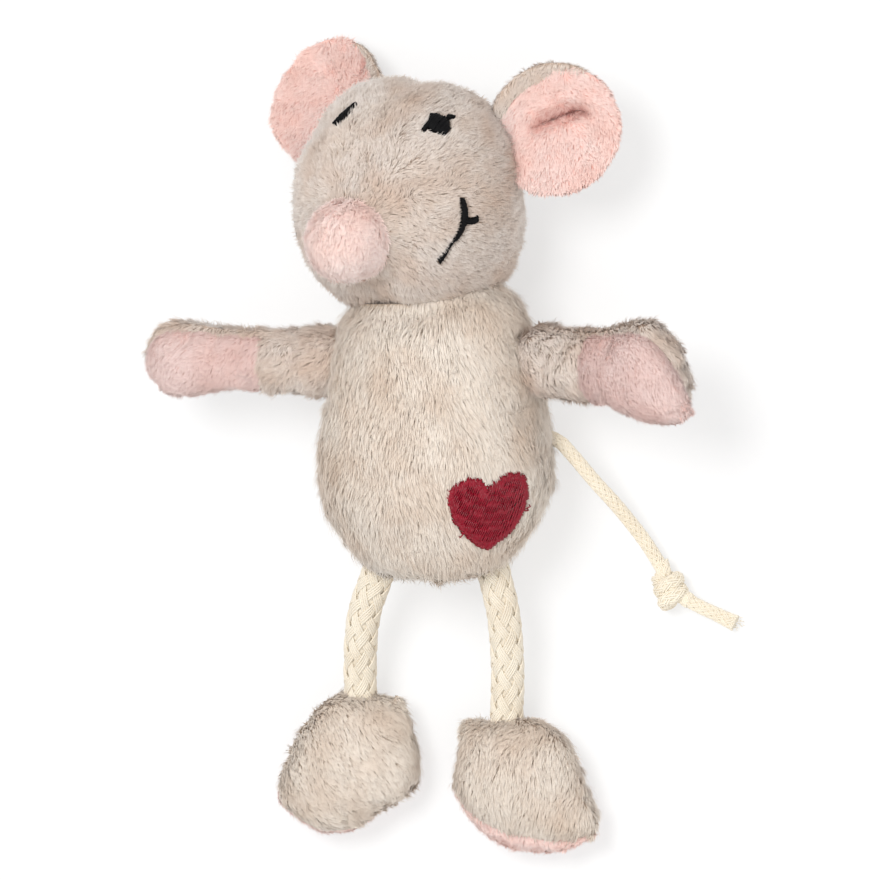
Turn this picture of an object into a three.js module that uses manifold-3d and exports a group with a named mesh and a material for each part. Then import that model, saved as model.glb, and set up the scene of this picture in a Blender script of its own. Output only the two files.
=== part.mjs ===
// A plush mouse for cats, lying on its back as it rests on a floor. Millimetres, +Z up.
// The head points to +Y, the feet to -Y, and the toy's own left hand to +X.
// Heights along the toy are counted from its heels. At the end the whole toy is moved so that the
// origin is the middle of its footprint, on the floor.
// Every panel is a thin bowl of plush over its own filling, cut from one swelling form by the seams.
import * as THREE from "three";
import { mergeVertices } from "three/addons/utils/BufferGeometryUtils.js";
import Module from "manifold-3d";

const wasm = await Module();
wasm.setup();

// Driving dimensions
const PLUSH = 1.6; // thickness of the fabric with its pile pressed down
const GAP = 0.3; // room between pieces that touch
const PLAY = 0.5; // room round a root that turns in its seat

// Body: half width at each height above the heels, and depth as a share of width
const BODY_OUTLINE = [
  [68.1, 0], [68.6, 9], [70.9, 16.2], [75.5, 21.6], [82, 26.1], [88, 28.7], [95, 29.8], [103, 29.5],
  [112, 28.2], [121.5, 26.5], [131, 24], [138, 19.5], [142.5, 12], [144, 0],
];
const BODY_DEPTH = 0.785;
const BODY_MID = [-0.2, 22.9];
const BODY_SQUARE = 2.1;
const BODY_SEAM_Z = 18;
const HEAD_SEAT = 31; // radius of the hollow at the neck

// Head: half width at each distance from the middle of its ball towards the nose
const HEAD_CENTRE = [-6.2, 160.9, 27.2];
const HEAD_TURN = -17; // degrees towards the toy's right shoulder
const HEAD_NOD = 20; // degrees that the chin is drawn to the chest
const HEAD_TILT = -7; // degrees that the left ear hangs lower
const HEAD_BALL = 27.3;
const HEAD_TALL = 1.06; // its height as a share of its width
const HEAD_SQUARE = 2.6; // 2 is a round section, and more is a boxier one
const HEAD_OUTLINE = [
  [-HEAD_BALL, 0], [-25.6, 9.9], [-20, 19.2], [-10, 25.8], [0, HEAD_BALL], [8, 26.7], [15, 23.5],
  [20, 18.2], [24.6, 12], [29, 11], [34, 9.2], [38, 5.2], [39.5, 0],
];
const NOSE_SEAM = 24.8;
const SNOUT_DROP = 1.5; // how far the nose sits under the middle line
const EYE_PLACE = [12.6, 22.7, 6.4];
const SMILE_PLACE = [22.9, -1.4, 13];
const EYE_RISE = 0.7; // how far the stitches stand proud
const SMILE_RISE = 0.6;

// Ears, as directions from the middle of the head in its own frame, for the left one
const EAR_REACH = [0.81, 0.375, -0.45];
const EAR_FACE = [0.3, 0.34, 0.85]; // both ears have flopped round to look this way
const EAR_FOLD_LINE = 30.9; // distance of the fold line from the middle of the head
const EAR_MIDDLE = 41; // distance of the disc's middle
const EAR_RADIUS = 16.2;
const EAR_LAYER = 1.7;
const EAR_CUP = 40; // radius of the shallow cup
const EAR_RIM = 0.7; // the back layer is turned over the front one by this
const EAR_ROOT_RADIUS = 2.1;

// Arms: half height at each distance from the fold line at the side seam
const ARM_ROOT = [[-8.2, 0], [-7.1, 4.9], [-4.2, 8.3], [0.5, 9.6]];
const ARM_ROOT_ROOM = [10.4, 9.3, 9.3]; // half sizes of the hollow that the root turns in
const ARM_DEPTH = [0.9, 0.68]; // depth as a share of height, at the root and at the hand
const ARM_TAPER = 30; // length over which the depth changes
const ARM_PLACE = [28, 121.3, 25];
const PALM_SEAM = 15.5;
const PALM_ROLL = 24; // degrees that the palm panel looks towards the feet
const DROOP_START = 29; // past this length a limp hand hangs down
const ARMS = {
  left: {
    side: 1, lift: 23, slope: -5, droop: 0.026, forward: [14, 28, 42],
    outline: [
      ...ARM_ROOT, [7, 9.6], [15, 9.9], [23, 11.2], [30, 12.8], [35, 12.5], [39.5, 10.6],
      [43.5, 7.3], [46.6, 3.2], [47.6, 0],
    ],
  },
  right: {
    side: -1, lift: 3, slope: 1, droop: 0, forward: [36, 49, 62],
    outline: [
      ...ARM_ROOT, [7, 9.1], [15, 8.8], [22, 9], [29, 9.8], [35, 10.5], [40, 9.8], [44, 7.3],
      [46.7, 3.3], [47.6, 0],
    ],
  },
};

// Feet
const FOOT_DEPTH = 0.6;
const FOOT_SQUARE = 2.2;
const FOOT_MID_Z = 9.3;
const ANKLE_SWINGS = [-40, -20, 0, 20, 40];
const SOLE_DROP = 2.6; // how far the sole's seam lies under the middle of the foot

// Legs: braided rope from the body's bottom seam to the foot, as points of its middle line. A foot's
// outline has a half width at each distance from its middle, toes first, and a shift to one side.
// The sole's seam lies square to soleUp, so that it climbs over the toes.
const ROPE_RADIUS = 4.15;
const LEGS = {
  left: {
    route: [[13.7, 67.8, 19.4], [15.1, 60.5, 18.1], [15.4, 53, 16], [14.8, 44, 12.8], [13.6, 35, 9.8]],
    foot: [17.6, 17, FOOT_MID_Z],
    splay: 43,
    soleUp: [0.2, 0.55, 0.81],
    outline: [
      [-22.8, 0, 5], [-22, 2.8, 4.7], [-20, 6.3, 3.2], [-16, 9.9, 1.5], [-10, 13.4, 0.2],
      [-4, 15.7, -0.4], [2, 16.5, -0.1], [8, 15.3, -0.5], [12, 13.2, -1.2], [15, 9.8, -0.5],
      [18, 6.3, -0.4], [21, 3.2, -0.5], [22.2, 0, -0.4],
    ],
  },
  right: {
    route: [
      [-17, 67.8, 19.4], [-20.3, 60.5, 17.6], [-22.2, 54, 15.3], [-23.4, 47, 12.6], [-24.3, 40.2, 9.8],
    ],
    foot: [-27.6, 22.2, FOOT_MID_Z],
    splay: -39,
    soleUp: [-0.1, 0.22, 0.97],
    outline: [
      [-20.5, 0, -3.6], [-20, 4.7, -3.3], [-18, 8.7, -1.5], [-14, 12, -0.4], [-8, 14.3, -0.1],
      [-2, 15.6, 0.1], [3, 16.3, 1], [8, 15.8, 1.2], [12, 13.5, 0.8], [16, 8.6, 0.8], [19, 4.6, 0.5],
      [21.2, 0, 0.2],
    ],
  },
};

// Tail: the route of its middle line, laid by hand from the side seam down to the floor
const TAIL_RADIUS = 1.75;
const TAIL_ROUTE = [
  [29, 101.3, 16], [31.5, 98.7, 15.3], [33.7, 96, 14.4], [35.9, 93, 13.1], [38.2, 90, 11.6],
  [40.6, 87, 9.9], [42.8, 84, 8.3], [44.8, 81.1, 6.8], [46.9, 78, 5.5], [48.9, 74.9, 4.7],
  [50.9, 71.6, 4.3], [52.7, 68.6, 4.1],
];
const KNOT_CENTRE = [54.7, 64.6, 4.2];
const KNOT_CORE = 2.4;
const KNOT_LOOPS = [
  { radius: 2.3, lean: 0.5, twist: 0.3, slide: -1.2 },
  { radius: 2.1, lean: -0.55, twist: -0.9, slide: 1.3 },
];
const TAIL_END_ROUTE = [
  [58, 61.7, 3.9], [61, 60.3, 3.3], [64.2, 59.1, 2.6], [67.3, 57.9, 2.2], [70.3, 56.6, 1.95],
];

// Heart, embroidered low on the toy's left
const HEART_PLACE = [18.1, 84.5, 39.8];
const HEART_TOWARDS = [0.55, -0.12, 0.84];
const HEART_TWIST = 8; // degrees that it leans
const HEART_RISE = 0.8;

// Catnip pouch, in a pocket that runs to the stuffing opening at the bottom seam
const POUCH_HALF_LENGTH = 15;
const POUCH_HALF_WIDTH = 12;
const POUCH_DEPTH = 0.36;
const POUCH_SQUARE = 2.3;
const POUCH_CENTRE = [0, 102, 23];
const POCKET_MOUTH = [11, 40, 4.6];

// Colours
const GREY_BEIGE = 0xc9bcae;
const FOOT_BEIGE = 0xd4c6b9;
const CREAM = 0xdccfc0;
const PINK = 0xf2c6bd;
const ROPE_WHITE = 0xf0e6d2;
const CRIMSON = 0x960a28;
const BLACK = 0x141414;
const FIBRE_WHITE = 0xf4f2ee;
const POUCH_CLOTH = 0xcdbb98;

const radians = THREE.MathUtils.degToRad;
const vector = (numbers) => new THREE.Vector3(...numbers);
const mirrored = ([x, y, z], side) => [x * side, y, z];
const SIDES = [["left", 1], ["right", -1]];
const axisX = vector([1, 0, 0]);
const axisY = vector([0, 1, 0]);
const axisZ = vector([0, 0, 1]);

// Joining and cutting

function bare(geometry) {
  const copy = geometry.clone();
  copy.deleteAttribute("normal");
  copy.deleteAttribute("uv");
  return mergeVertices(copy, 1e-4);
}

function solidOf(geometry) {
  const merged = bare(geometry);
  return new wasm.Manifold(new wasm.Mesh({
    numProp: 3,
    vertProperties: merged.attributes.position.array,
    triVerts: new Uint32Array(merged.index.array),
  }));
}

function geometryOf(solid) {
  const mesh = solid.getMesh();
  const places = new Float32Array(mesh.numVert * 3);
  for (let i = 0; i < mesh.numVert; i++) {
    places.set(mesh.vertProperties.subarray(i * mesh.numProp, i * mesh.numProp + 3), i * 3);
  }
  const geometry = new THREE.BufferGeometry();
  geometry.setAttribute("position", new THREE.BufferAttribute(places, 3));
  geometry.setIndex(new THREE.BufferAttribute(new Uint32Array(mesh.triVerts), 1));
  geometry.computeVertexNormals();
  return geometry;
}

const joined = (solids) => solids.reduce((all, next) => all.add(next));

// A block that fills everything past a plane through a point, on the side that the normal shows.
function beyond(normal, point) {
  const reach = 400;
  const block = new THREE.BoxGeometry(reach, reach, reach).translate(0, 0, reach / 2);
  block.applyQuaternion(new THREE.Quaternion().setFromUnitVectors(axisZ, normal.clone().normalize()));
  return solidOf(block.translate(...point));
}

// Soft forms

// A swelling form along +Y: rings of a rounded section whose half width follows an outline.
// The depth is a share of the width at each place, and the middle of the section may wander.
function softForm(spec, [rings, sides]) {
  const { outline, depth, square = () => 2, middle = () => [0, 0], place = null } = spec;
  const curve = new THREE.SplineCurve(outline.map(([along, half]) => new THREE.Vector2(half, along)));
  const rounded = (value, along) => Math.sign(value) * Math.abs(value) ** (2 / square(along));
  const places = [];
  const faces = [];
  for (let i = 0; i <= rings; i++) {
    const { x, y } = curve.getPoint(i / rings);
    const [midX, midZ] = middle(y);
    const pole = i === 0 || i === rings;
    const half = pole ? 0 : x;
    for (let k = 0; k < (pole ? 1 : sides); k++) {
      const turn = (2 * Math.PI * k) / sides;
      const wide = half * rounded(Math.cos(turn), y);
      const deep = half * depth(y) * rounded(Math.sin(turn), y);
      places.push(midX + wide, y, midZ + deep);
    }
  }
  const first = (i) => (i === 0 ? 0 : 1 + (i - 1) * sides);
  for (let k = 0; k < sides; k++) {
    const next = (k + 1) % sides;
    faces.push(0, first(1) + k, first(1) + next);
    faces.push(first(rings), first(rings - 1) + next, first(rings - 1) + k);
    for (let i = 1; i < rings - 1; i++) {
      faces.push(first(i) + k, first(i + 1) + k, first(i) + next);
      faces.push(first(i) + next, first(i + 1) + k, first(i + 1) + next);
    }
  }
  const geometry = new THREE.BufferGeometry();
  geometry.setAttribute("position", new THREE.Float32BufferAttribute(places, 3));
  geometry.setIndex(faces);
  return place ? geometry.applyMatrix4(place) : geometry;
}

// The same form grown along its normals, or shrunk where the distance is negative.
function grown(geometry, distance) {
  const copy = bare(geometry);
  copy.computeVertexNormals();
  const place = copy.attributes.position;
  const normal = copy.attributes.normal;
  for (let i = 0; i < place.count; i++) {
    const at = new THREE.Vector3().fromBufferAttribute(place, i);
    at.addScaledVector(new THREE.Vector3().fromBufferAttribute(normal, i), distance);
    place.setXYZ(i, at.x, at.y, at.z);
  }
  return copy;
}

// A flat outline pressed onto a form, so that it stands proud of it by GAP to GAP + thickness.
function pressedOn(form, outlines, place, towards, twist, thickness) {
  const reach = 16;
  const skin = solidOf(grown(form, GAP + thickness)).subtract(solidOf(grown(form, GAP)));
  const turn = new THREE.Quaternion().setFromUnitVectors(axisZ, vector(towards).normalize());
  const roll = new THREE.Quaternion().setFromAxisAngle(axisZ, radians(twist));
  const blocks = outlines.map((outline) => {
    const options = { depth: reach, bevelEnabled: false, curveSegments: 8 };
    const block = new THREE.ExtrudeGeometry(outline, options);
    block.translate(0, 0, -reach / 2).applyQuaternion(roll).applyQuaternion(turn);
    return solidOf(block.translate(...place));
  });
  return skin.intersect(joined(blocks));
}

// A stitched line as a flat outline: points widened to both sides by the width at each.
function stroke(points, widths) {
  const left = [];
  const right = [];
  points.forEach(([x, y], i) => {
    const before = points[Math.max(i - 1, 0)];
    const after = points[Math.min(i + 1, points.length - 1)];
    const along = new THREE.Vector2(after[0] - before[0], after[1] - before[1]).normalize();
    const aside = new THREE.Vector2(-along.y, along.x).multiplyScalar(widths[i] / 2);
    left.push(new THREE.Vector2(x, y).add(aside));
    right.unshift(new THREE.Vector2(x, y).sub(aside));
  });
  return new THREE.Shape([...right, ...left]);
}

// The room that a form takes as it turns about an axis through its own origin.
function swept(form, axis, degrees) {
  return joined(degrees.map((angle) => {
    const turn = new THREE.Quaternion().setFromAxisAngle(axis, radians(angle));
    return solidOf(form.clone().applyQuaternion(turn));
  }));
}

// A ball round a place, as the hollow that a round root turns in or as a rounded end.
function ball(radius, place, sides = 16) {
  return solidOf(new THREE.SphereGeometry(radius, sides, Math.round(sides * 0.7)).translate(...place));
}

// A cord or rope along a route.
function cord(route, radius, sides, steps) {
  const section = new THREE.Shape(Array.from({ length: sides }, (_, k) => {
    const turn = (2 * Math.PI * k) / sides;
    return new THREE.Vector2(radius * Math.cos(turn), radius * Math.sin(turn));
  }));
  const path = new THREE.CatmullRomCurve3(route.map(vector));
  return new THREE.ExtrudeGeometry(section, { steps, bevelEnabled: false, extrudePath: path });
}

// Scene graph

const toy = new THREE.Group();

function groupAt(parent, place) {
  const group = new THREE.Group();
  group.position.set(...place);
  parent.add(group);
  return group;
}

function add(group, name, shape, colour, roughness = 0.95) {
  const material = new THREE.MeshStandardMaterial({ color: colour, roughness, metalness: 0 });
  const mesh = new THREE.Mesh(shape.isBufferGeometry ? shape : geometryOf(shape), material);
  mesh.name = name;
  group.add(mesh);
}

// Everything above the floor, in the frame of a group.
function aboveFloor(group) {
  toy.updateMatrixWorld(true);
  const block = new THREE.BoxGeometry(400, 600, 400).translate(0, 100, 200);
  return solidOf(block.applyMatrix4(group.matrixWorld.clone().invert()));
}

// A form as a shell of plush, pressed flat on the floor, and the filling inside it. The inside has
// fewer facets than the outside.
function shellAndFilling(spec, outside, inside, group) {
  const form = softForm(spec, outside);
  const core = softForm(spec, inside);
  const shell = solidOf(form).intersect(aboveFloor(group)).subtract(solidOf(grown(core, -PLUSH)));
  return { form, shell, filling: solidOf(grown(core, -PLUSH - GAP)) };
}

// Head

const headGroup = groupAt(toy, HEAD_CENTRE);
headGroup.rotation.set(radians(HEAD_NOD), radians(HEAD_TURN), radians(HEAD_TILT), "YXZ");

// The snout side is +Y in the head's form, and its height is the section's depth. Towards the nose
// the boxy section turns round.
const towardsNose = (along) => THREE.MathUtils.clamp(along / NOSE_SEAM, 0, 1);
const HEAD = {
  outline: HEAD_OUTLINE,
  square: (along) => THREE.MathUtils.lerp(HEAD_SQUARE, 2, towardsNose(along)),
  depth: (along) => THREE.MathUtils.lerp(HEAD_TALL, 1, towardsNose(along)),
  middle: (along) => [0, SNOUT_DROP * towardsNose(along)],
  place: new THREE.Matrix4().makeRotationX(Math.PI / 2),
};

// The eye: a blunt satin-stitch block with a lash at its outer corner and a tail at its inner one.
function eyeOutlines(side) {
  const turned = (points) => points.map(([x, y]) => [x * side, y]);
  const block = [[-2.9, -1.2], [-0.6, -2.4], [1.2, -3], [2.9, -1.3], [2.3, 2.1], [-0.6, 3], [-2.2, 2.2]];
  return [
    new THREE.Shape(turned(block).map(([x, y]) => new THREE.Vector2(x, y))),
    stroke(turned([[1.6, 1.9], [3.4, 1.7], [4.6, 1.3]]), [1, 0.9, 0.5]),
    stroke(turned([[-2, 0.4], [-3.4, -0.9], [-3.9, -1.9]]), [0.9, 0.9, 0.7]),
  ];
}

// The smile: a long curve down the cheek that forks near its top.
function smileOutlines(side) {
  const turned = (points) => points.map(([x, y]) => [x * side, y]);
  return [
    stroke(
      turned([[1.2, 7.4], [1.5, 5], [1.1, 2], [0, -0.6], [-1.8, -3], [-4.2, -5.6], [-5.9, -7.2]]),
      [0.8, 1.7, 1.5, 1.4, 1.2, 1.1, 0.7],
    ),
    stroke(turned([[0.8, 1.2], [2.6, 2], [4.2, 3]]), [1.2, 1.3, 1.6]),
  ];
}

function buildHead() {
  const { form, shell, filling } = shellAndFilling(HEAD, [15, 20], [10, 14], headGroup);
  const nose = beyond(axisZ, [0, 0, NOSE_SEAM + GAP / 2]);
  const skull = beyond(axisZ.clone().negate(), [0, 0, NOSE_SEAM - GAP / 2]);
  add(headGroup, "head_filling", filling.intersect(aboveFloor(headGroup)), FIBRE_WHITE);
  add(headGroup, "nose_cap", shell.intersect(nose), PINK);
  for (const [hand, side] of SIDES) {
    const half = beyond(axisX.clone().multiplyScalar(side), [(side * GAP) / 2, 0, 0]);
    add(headGroup, `head_panel_${hand}`, shell.intersect(skull).intersect(half), GREY_BEIGE);
    const eye = mirrored(EYE_PLACE, side);
    const stitchedEye = pressedOn(form, eyeOutlines(side), eye, eye, 0, EYE_RISE);
    add(headGroup, `eye_${hand}`, stitchedEye, BLACK, 0.5);
    const smile = mirrored(SMILE_PLACE, side);
    const stitchedSmile = pressedOn(form, smileOutlines(side), smile, smile, 0, SMILE_RISE);
    add(headGroup, `smile_${hand}`, stitchedSmile, BLACK, 0.5);
  }
}

// One cupped layer of an ear, a cap of a ball's skin about +Y.
function earLayer(inner, outer, reach) {
  const steps = 3;
  const arc = (radius) => Array.from({ length: steps + 1 }, (_, i) => {
    const angle = (Math.asin(reach / EAR_CUP) * i) / steps;
    return new THREE.Vector2(radius * Math.sin(angle), radius * Math.cos(angle));
  });
  return new THREE.LatheGeometry([...arc(inner), ...arc(outer).reverse()], 20);
}

// An ear stands on its fold line, in a frame whose +X is that line, +Y the way it reaches and +Z its
// face. Below the line it is rounded off, and it is cut clear of the head.
function buildEar(hand, side) {
  const outward = vector(mirrored(EAR_REACH, side)).normalize();
  const face = vector(EAR_FACE);
  const front = face.clone().addScaledVector(outward, -face.dot(outward)).normalize();
  const foldLine = new THREE.Vector3().crossVectors(outward, front);
  const pivot = outward.clone().multiplyScalar(EAR_FOLD_LINE);
  const frame = new THREE.Matrix4().makeBasis(foldLine, outward, front).setPosition(pivot);
  const ear = groupAt(headGroup, [0, 0, 0]);
  ear.applyMatrix4(frame);

  const skull = grown(softForm(HEAD, [15, 20]), GAP + 0.1).applyMatrix4(frame.clone().invert());
  const root = new THREE.CylinderGeometry(EAR_ROOT_RADIUS, EAR_ROOT_RADIUS, 60, 12).rotateZ(Math.PI / 2);
  const keep = beyond(axisY, [0, 0, 0]).add(solidOf(root)).subtract(solidOf(skull));
  const stand = EAR_MIDDLE - EAR_FOLD_LINE;
  const sag = EAR_CUP - Math.sqrt(EAR_CUP ** 2 - stand ** 2);
  const layers = [
    ["front", EAR_CUP - EAR_LAYER - GAP / 2, EAR_CUP - GAP / 2, EAR_RADIUS - EAR_RIM, PINK],
    ["back", EAR_CUP + GAP / 2, EAR_CUP + EAR_LAYER + GAP / 2, EAR_RADIUS, GREY_BEIGE],
  ];
  for (const [layer, inner, outer, reach, colour] of layers) {
    const cap = earLayer(inner, outer, reach);
    cap.rotateX(-Math.PI / 2).translate(0, stand, EAR_CUP - sag);
    add(ear, `ear_${hand}_${layer}`, solidOf(cap).intersect(keep), colour);
  }
}

// Arms, in a frame whose +Y runs along the arm, +Z to the palm and +X across the hand

function armFrame({ side, lift, slope }) {
  const rise = radians(lift);
  const tilt = radians(slope);
  const level = Math.cos(tilt);
  const along = vector([side * Math.cos(rise) * level, Math.sin(tilt), Math.sin(rise) * level]);
  const palm = axisZ.clone().addScaledVector(along, -axisZ.dot(along)).normalize();
  const across = new THREE.Vector3().crossVectors(along, palm);
  return new THREE.Matrix4().makeBasis(across, along, palm).setPosition(...mirrored(ARM_PLACE, side));
}

const armSpec = ({ outline, droop, side }) => ({
  outline,
  depth: (along) => THREE.MathUtils.lerp(...ARM_DEPTH, THREE.MathUtils.clamp(along / ARM_TAPER, 0, 1)),
  middle: (along) => [droop * Math.max(along - DROOP_START, 0) ** 2 * side, 0],
});

function buildArm(hand, arm) {
  const group = groupAt(toy, [0, 0, 0]);
  group.applyMatrix4(armFrame(arm));
  const { shell, filling } = shellAndFilling(armSpec(arm), [12, 14], [8, 10], group);
  const palm = axisZ.clone().applyAxisAngle(axisY, radians(PALM_ROLL) * arm.side);
  const front = beyond(palm, palm.clone().multiplyScalar(GAP / 2).toArray());
  const back = beyond(palm.clone().negate(), palm.clone().multiplyScalar(-GAP / 2).toArray());
  const hands = beyond(axisY, [0, PALM_SEAM + GAP / 2, 0]);
  const upper = beyond(axisY.clone().negate(), [0, PALM_SEAM - GAP / 2, 0]);
  add(group, `arm_${hand}_filling`, filling, FIBRE_WHITE);
  add(group, `arm_${hand}_back`, shell.intersect(back), GREY_BEIGE);
  add(group, `arm_${hand}_sleeve`, shell.intersect(front).intersect(upper), GREY_BEIGE);
  add(group, `arm_${hand}_palm`, shell.intersect(front).intersect(hands), PINK);
}

// The hollow in the body's side that an arm's root turns in, and that the arm dips into as it
// swings forward.
function armRoom(arm) {
  const root = new THREE.SphereGeometry(1, 16, 12).scale(...ARM_ROOT_ROOM);
  const room = solidOf(root).add(swept(grown(softForm(armSpec(arm), [8, 10]), PLAY), axisX, arm.forward));
  return room.transform(armFrame(arm).toArray());
}

// Legs and feet

function buildLeg(hand, leg) {
  const rope = solidOf(cord(leg.route, ROPE_RADIUS, 12, 8));
  const ends = [leg.route[0], leg.route.at(-1)].map((place) => ball(ROPE_RADIUS, place, 12));
  add(toy, `leg_rope_${hand}`, joined([rope, ...ends]), ROPE_WHITE, 0.85);
}

// How far the middle of a form is shifted at each place along it, by the third number of its outline.
function shiftAlong(outline) {
  const ends = [outline[0][0], outline.at(-1)[0]];
  return (along) => {
    const place = THREE.MathUtils.clamp(along, ...ends);
    const next = Math.max(outline.findIndex(([at]) => at >= place), 1);
    const [from, , first] = outline[next - 1];
    const [to, , last] = outline[next];
    return [THREE.MathUtils.mapLinear(place, from, to, first, last), 0];
  };
}

function buildFoot(hand, leg) {
  const ankle = leg.route.at(-1);
  const group = groupAt(toy, ankle);
  const offset = vector(leg.foot).sub(vector(ankle));
  const spec = {
    outline: leg.outline,
    middle: shiftAlong(leg.outline),
    square: () => FOOT_SQUARE,
    depth: () => FOOT_DEPTH,
    place: new THREE.Matrix4().makeRotationZ(radians(leg.splay)).setPosition(offset),
  };
  const { shell, filling } = shellAndFilling(spec, [11, 18], [8, 12], group);
  const way = vector(leg.route.at(-2)).sub(vector(ankle)).normalize();
  const rope = new THREE.CylinderGeometry(ROPE_RADIUS + PLAY, ROPE_RADIUS + PLAY, 16, 12)
    .translate(0, 8, 0).applyQuaternion(new THREE.Quaternion().setFromUnitVectors(axisY, way));
  const room = ball(ROPE_RADIUS + PLAY, [0, 0, 0], 14).add(swept(rope, axisX, ANKLE_SWINGS));
  const sole = vector(leg.soleUp).normalize();
  const middle = offset.clone().addScaledVector(axisZ, -SOLE_DROP);
  const upper = beyond(sole, middle.clone().addScaledVector(sole, GAP / 2).toArray());
  const under = beyond(sole.clone().negate(), middle.clone().addScaledVector(sole, -GAP / 2).toArray());
  add(group, `foot_${hand}_filling`, filling.subtract(room), FIBRE_WHITE);
  add(group, `foot_${hand}_upper`, shell.subtract(room).intersect(upper), FOOT_BEIGE);
  add(group, `foot_${hand}_sole`, shell.subtract(room).intersect(under), PINK);
}

// Body

function heartOutline() {
  const heart = new THREE.Shape();
  heart.moveTo(0, -9.6);
  heart.bezierCurveTo(3.2, -6.4, 9.8, -1.6, 10, 4);
  heart.bezierCurveTo(10.1, 7.6, 8, 9.2, 5.6, 9.2);
  heart.bezierCurveTo(3, 9.2, 0.9, 7.4, 0, 5.2);
  heart.bezierCurveTo(-0.9, 7.4, -3, 9.2, -5.6, 9.2);
  heart.bezierCurveTo(-8, 9.2, -10.1, 7.6, -10, 4);
  heart.bezierCurveTo(-9.8, -1.6, -3.2, -6.4, 0, -9.6);
  return heart;
}

function pouchForm() {
  const [half, wide] = [POUCH_HALF_LENGTH, POUCH_HALF_WIDTH];
  const outline = [
    [-half, 0], [-0.94 * half, 0.75 * wide], [-0.6 * half, wide],
    [0.6 * half, wide], [0.94 * half, 0.75 * wide], [half, 0],
  ];
  const place = new THREE.Matrix4().makeTranslation(...POUCH_CENTRE);
  return softForm({ outline, depth: () => POUCH_DEPTH, square: () => POUCH_SQUARE, place }, [8, 12]);
}

function buildBody() {
  const group = groupAt(toy, [0, 0, 0]);
  const [midX, midZ] = BODY_MID;
  const spec = {
    outline: BODY_OUTLINE,
    square: () => BODY_SQUARE,
    depth: () => BODY_DEPTH,
    place: new THREE.Matrix4().makeTranslation(midX, 0, midZ),
  };
  const { form, shell, filling } = shellAndFilling(spec, [15, 22], [10, 14], group);
  const room = joined([
    ball(HEAD_SEAT, HEAD_CENTRE, 26),
    ...Object.values(ARMS).map(armRoom),
    ...Object.values(LEGS).map((leg) => ball(ROPE_RADIUS + PLAY, leg.route[0], 14)),
    ball(TAIL_RADIUS + 2 * PLAY, TAIL_ROUTE[0], 10),
  ]);
  const pouch = pouchForm();
  const mouth = new THREE.BoxGeometry(...POCKET_MOUTH)
    .translate(0, POUCH_CENTRE[1] - POCKET_MOUTH[1] / 2, POUCH_CENTRE[2]);
  const pocket = solidOf(grown(pouch, GAP)).add(solidOf(mouth));
  const front = beyond(axisZ, [0, 0, BODY_SEAM_Z + GAP / 2]);
  const back = beyond(axisZ.clone().negate(), [0, 0, BODY_SEAM_Z - GAP / 2]);
  add(group, "body_filling", filling.subtract(room).subtract(pocket), FIBRE_WHITE);
  add(group, "catnip_pouch", pouch, POUCH_CLOTH);
  add(group, "body_front", shell.subtract(room).intersect(front), CREAM);
  add(group, "body_back", shell.subtract(room).intersect(back), CREAM);
  const heart = pressedOn(form, [heartOutline()], HEART_PLACE, HEART_TOWARDS, HEART_TWIST, HEART_RISE);
  add(group, "heart", heart, CRIMSON, 0.5);
}

// Tail

// A tight overhand knot: two turns of the cord crossed over its own core.
function buildTail() {
  const way = vector(TAIL_END_ROUTE[0]).sub(vector(TAIL_ROUTE.at(-1))).normalize();
  const turn = new THREE.Quaternion().setFromUnitVectors(axisZ, way);
  const loop = ({ radius, lean, twist, slide }) => solidOf(
    new THREE.TorusGeometry(radius, TAIL_RADIUS, 8, 12).rotateX(lean).rotateZ(twist)
      .translate(0, 0, slide).applyQuaternion(turn).translate(...KNOT_CENTRE),
  );
  const knot = joined([ball(KNOT_CORE, KNOT_CENTRE, 10), ...KNOT_LOOPS.map(loop)]);
  add(toy, "tail_cord", cord(TAIL_ROUTE, TAIL_RADIUS, 8, 12), ROPE_WHITE, 0.85);
  add(toy, "tail_knot", knot, ROPE_WHITE, 0.85);
  add(toy, "tail_end", cord(TAIL_END_ROUTE, TAIL_RADIUS, 8, 5), ROPE_WHITE, 0.85);
}

buildHead();
SIDES.forEach(([hand, side]) => buildEar(hand, side));
Object.entries(ARMS).forEach(([hand, arm]) => buildArm(hand, arm));
for (const [hand, leg] of Object.entries(LEGS)) {
  buildLeg(hand, leg);
  buildFoot(hand, leg);
}
buildBody();
buildTail();

// The origin: the middle of the footprint that the toy has without its tail.
toy.updateMatrixWorld(true);
const footprint = new THREE.Box3();
toy.traverse((piece) => {
  if (piece.isMesh && !piece.name.startsWith("tail_")) {
    footprint.expandByObject(piece, true);
  }
});
const middle = footprint.getCenter(new THREE.Vector3());
toy.position.set(-middle.x, -middle.y, -footprint.min.z);
console.log("heels and middle line stand at", toy.position.toArray());
console.log("size without the tail", footprint.getSize(new THREE.Vector3()).toArray());

const mouse = new THREE.Group();
mouse.add(toy);

export default mouse;
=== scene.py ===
# %% [markdown]
# # A plush mouse for cats
#
# This lesson dresses the measured model of a small stuffed mouse. The model gives the true size and
# place of every piece and the line that each limb turns about. Here each piece gets the look of the
# real one: sewn panels of plush with a laid pile, satin-stitched eyes, smile and heart, braided rope
# legs and a knotted cotton cord for a tail.
#
# The pile is made as real strands, not as a picture on the surface, so that its edge against the
# floor, its partings and its shadows are right from every side.

# %% Load the measured model
import math

import bmesh
import bpy
import numpy as np
from mathutils import Matrix, Vector
from mathutils.bvhtree import BVHTree
from mathutils.kdtree import KDTree


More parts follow.
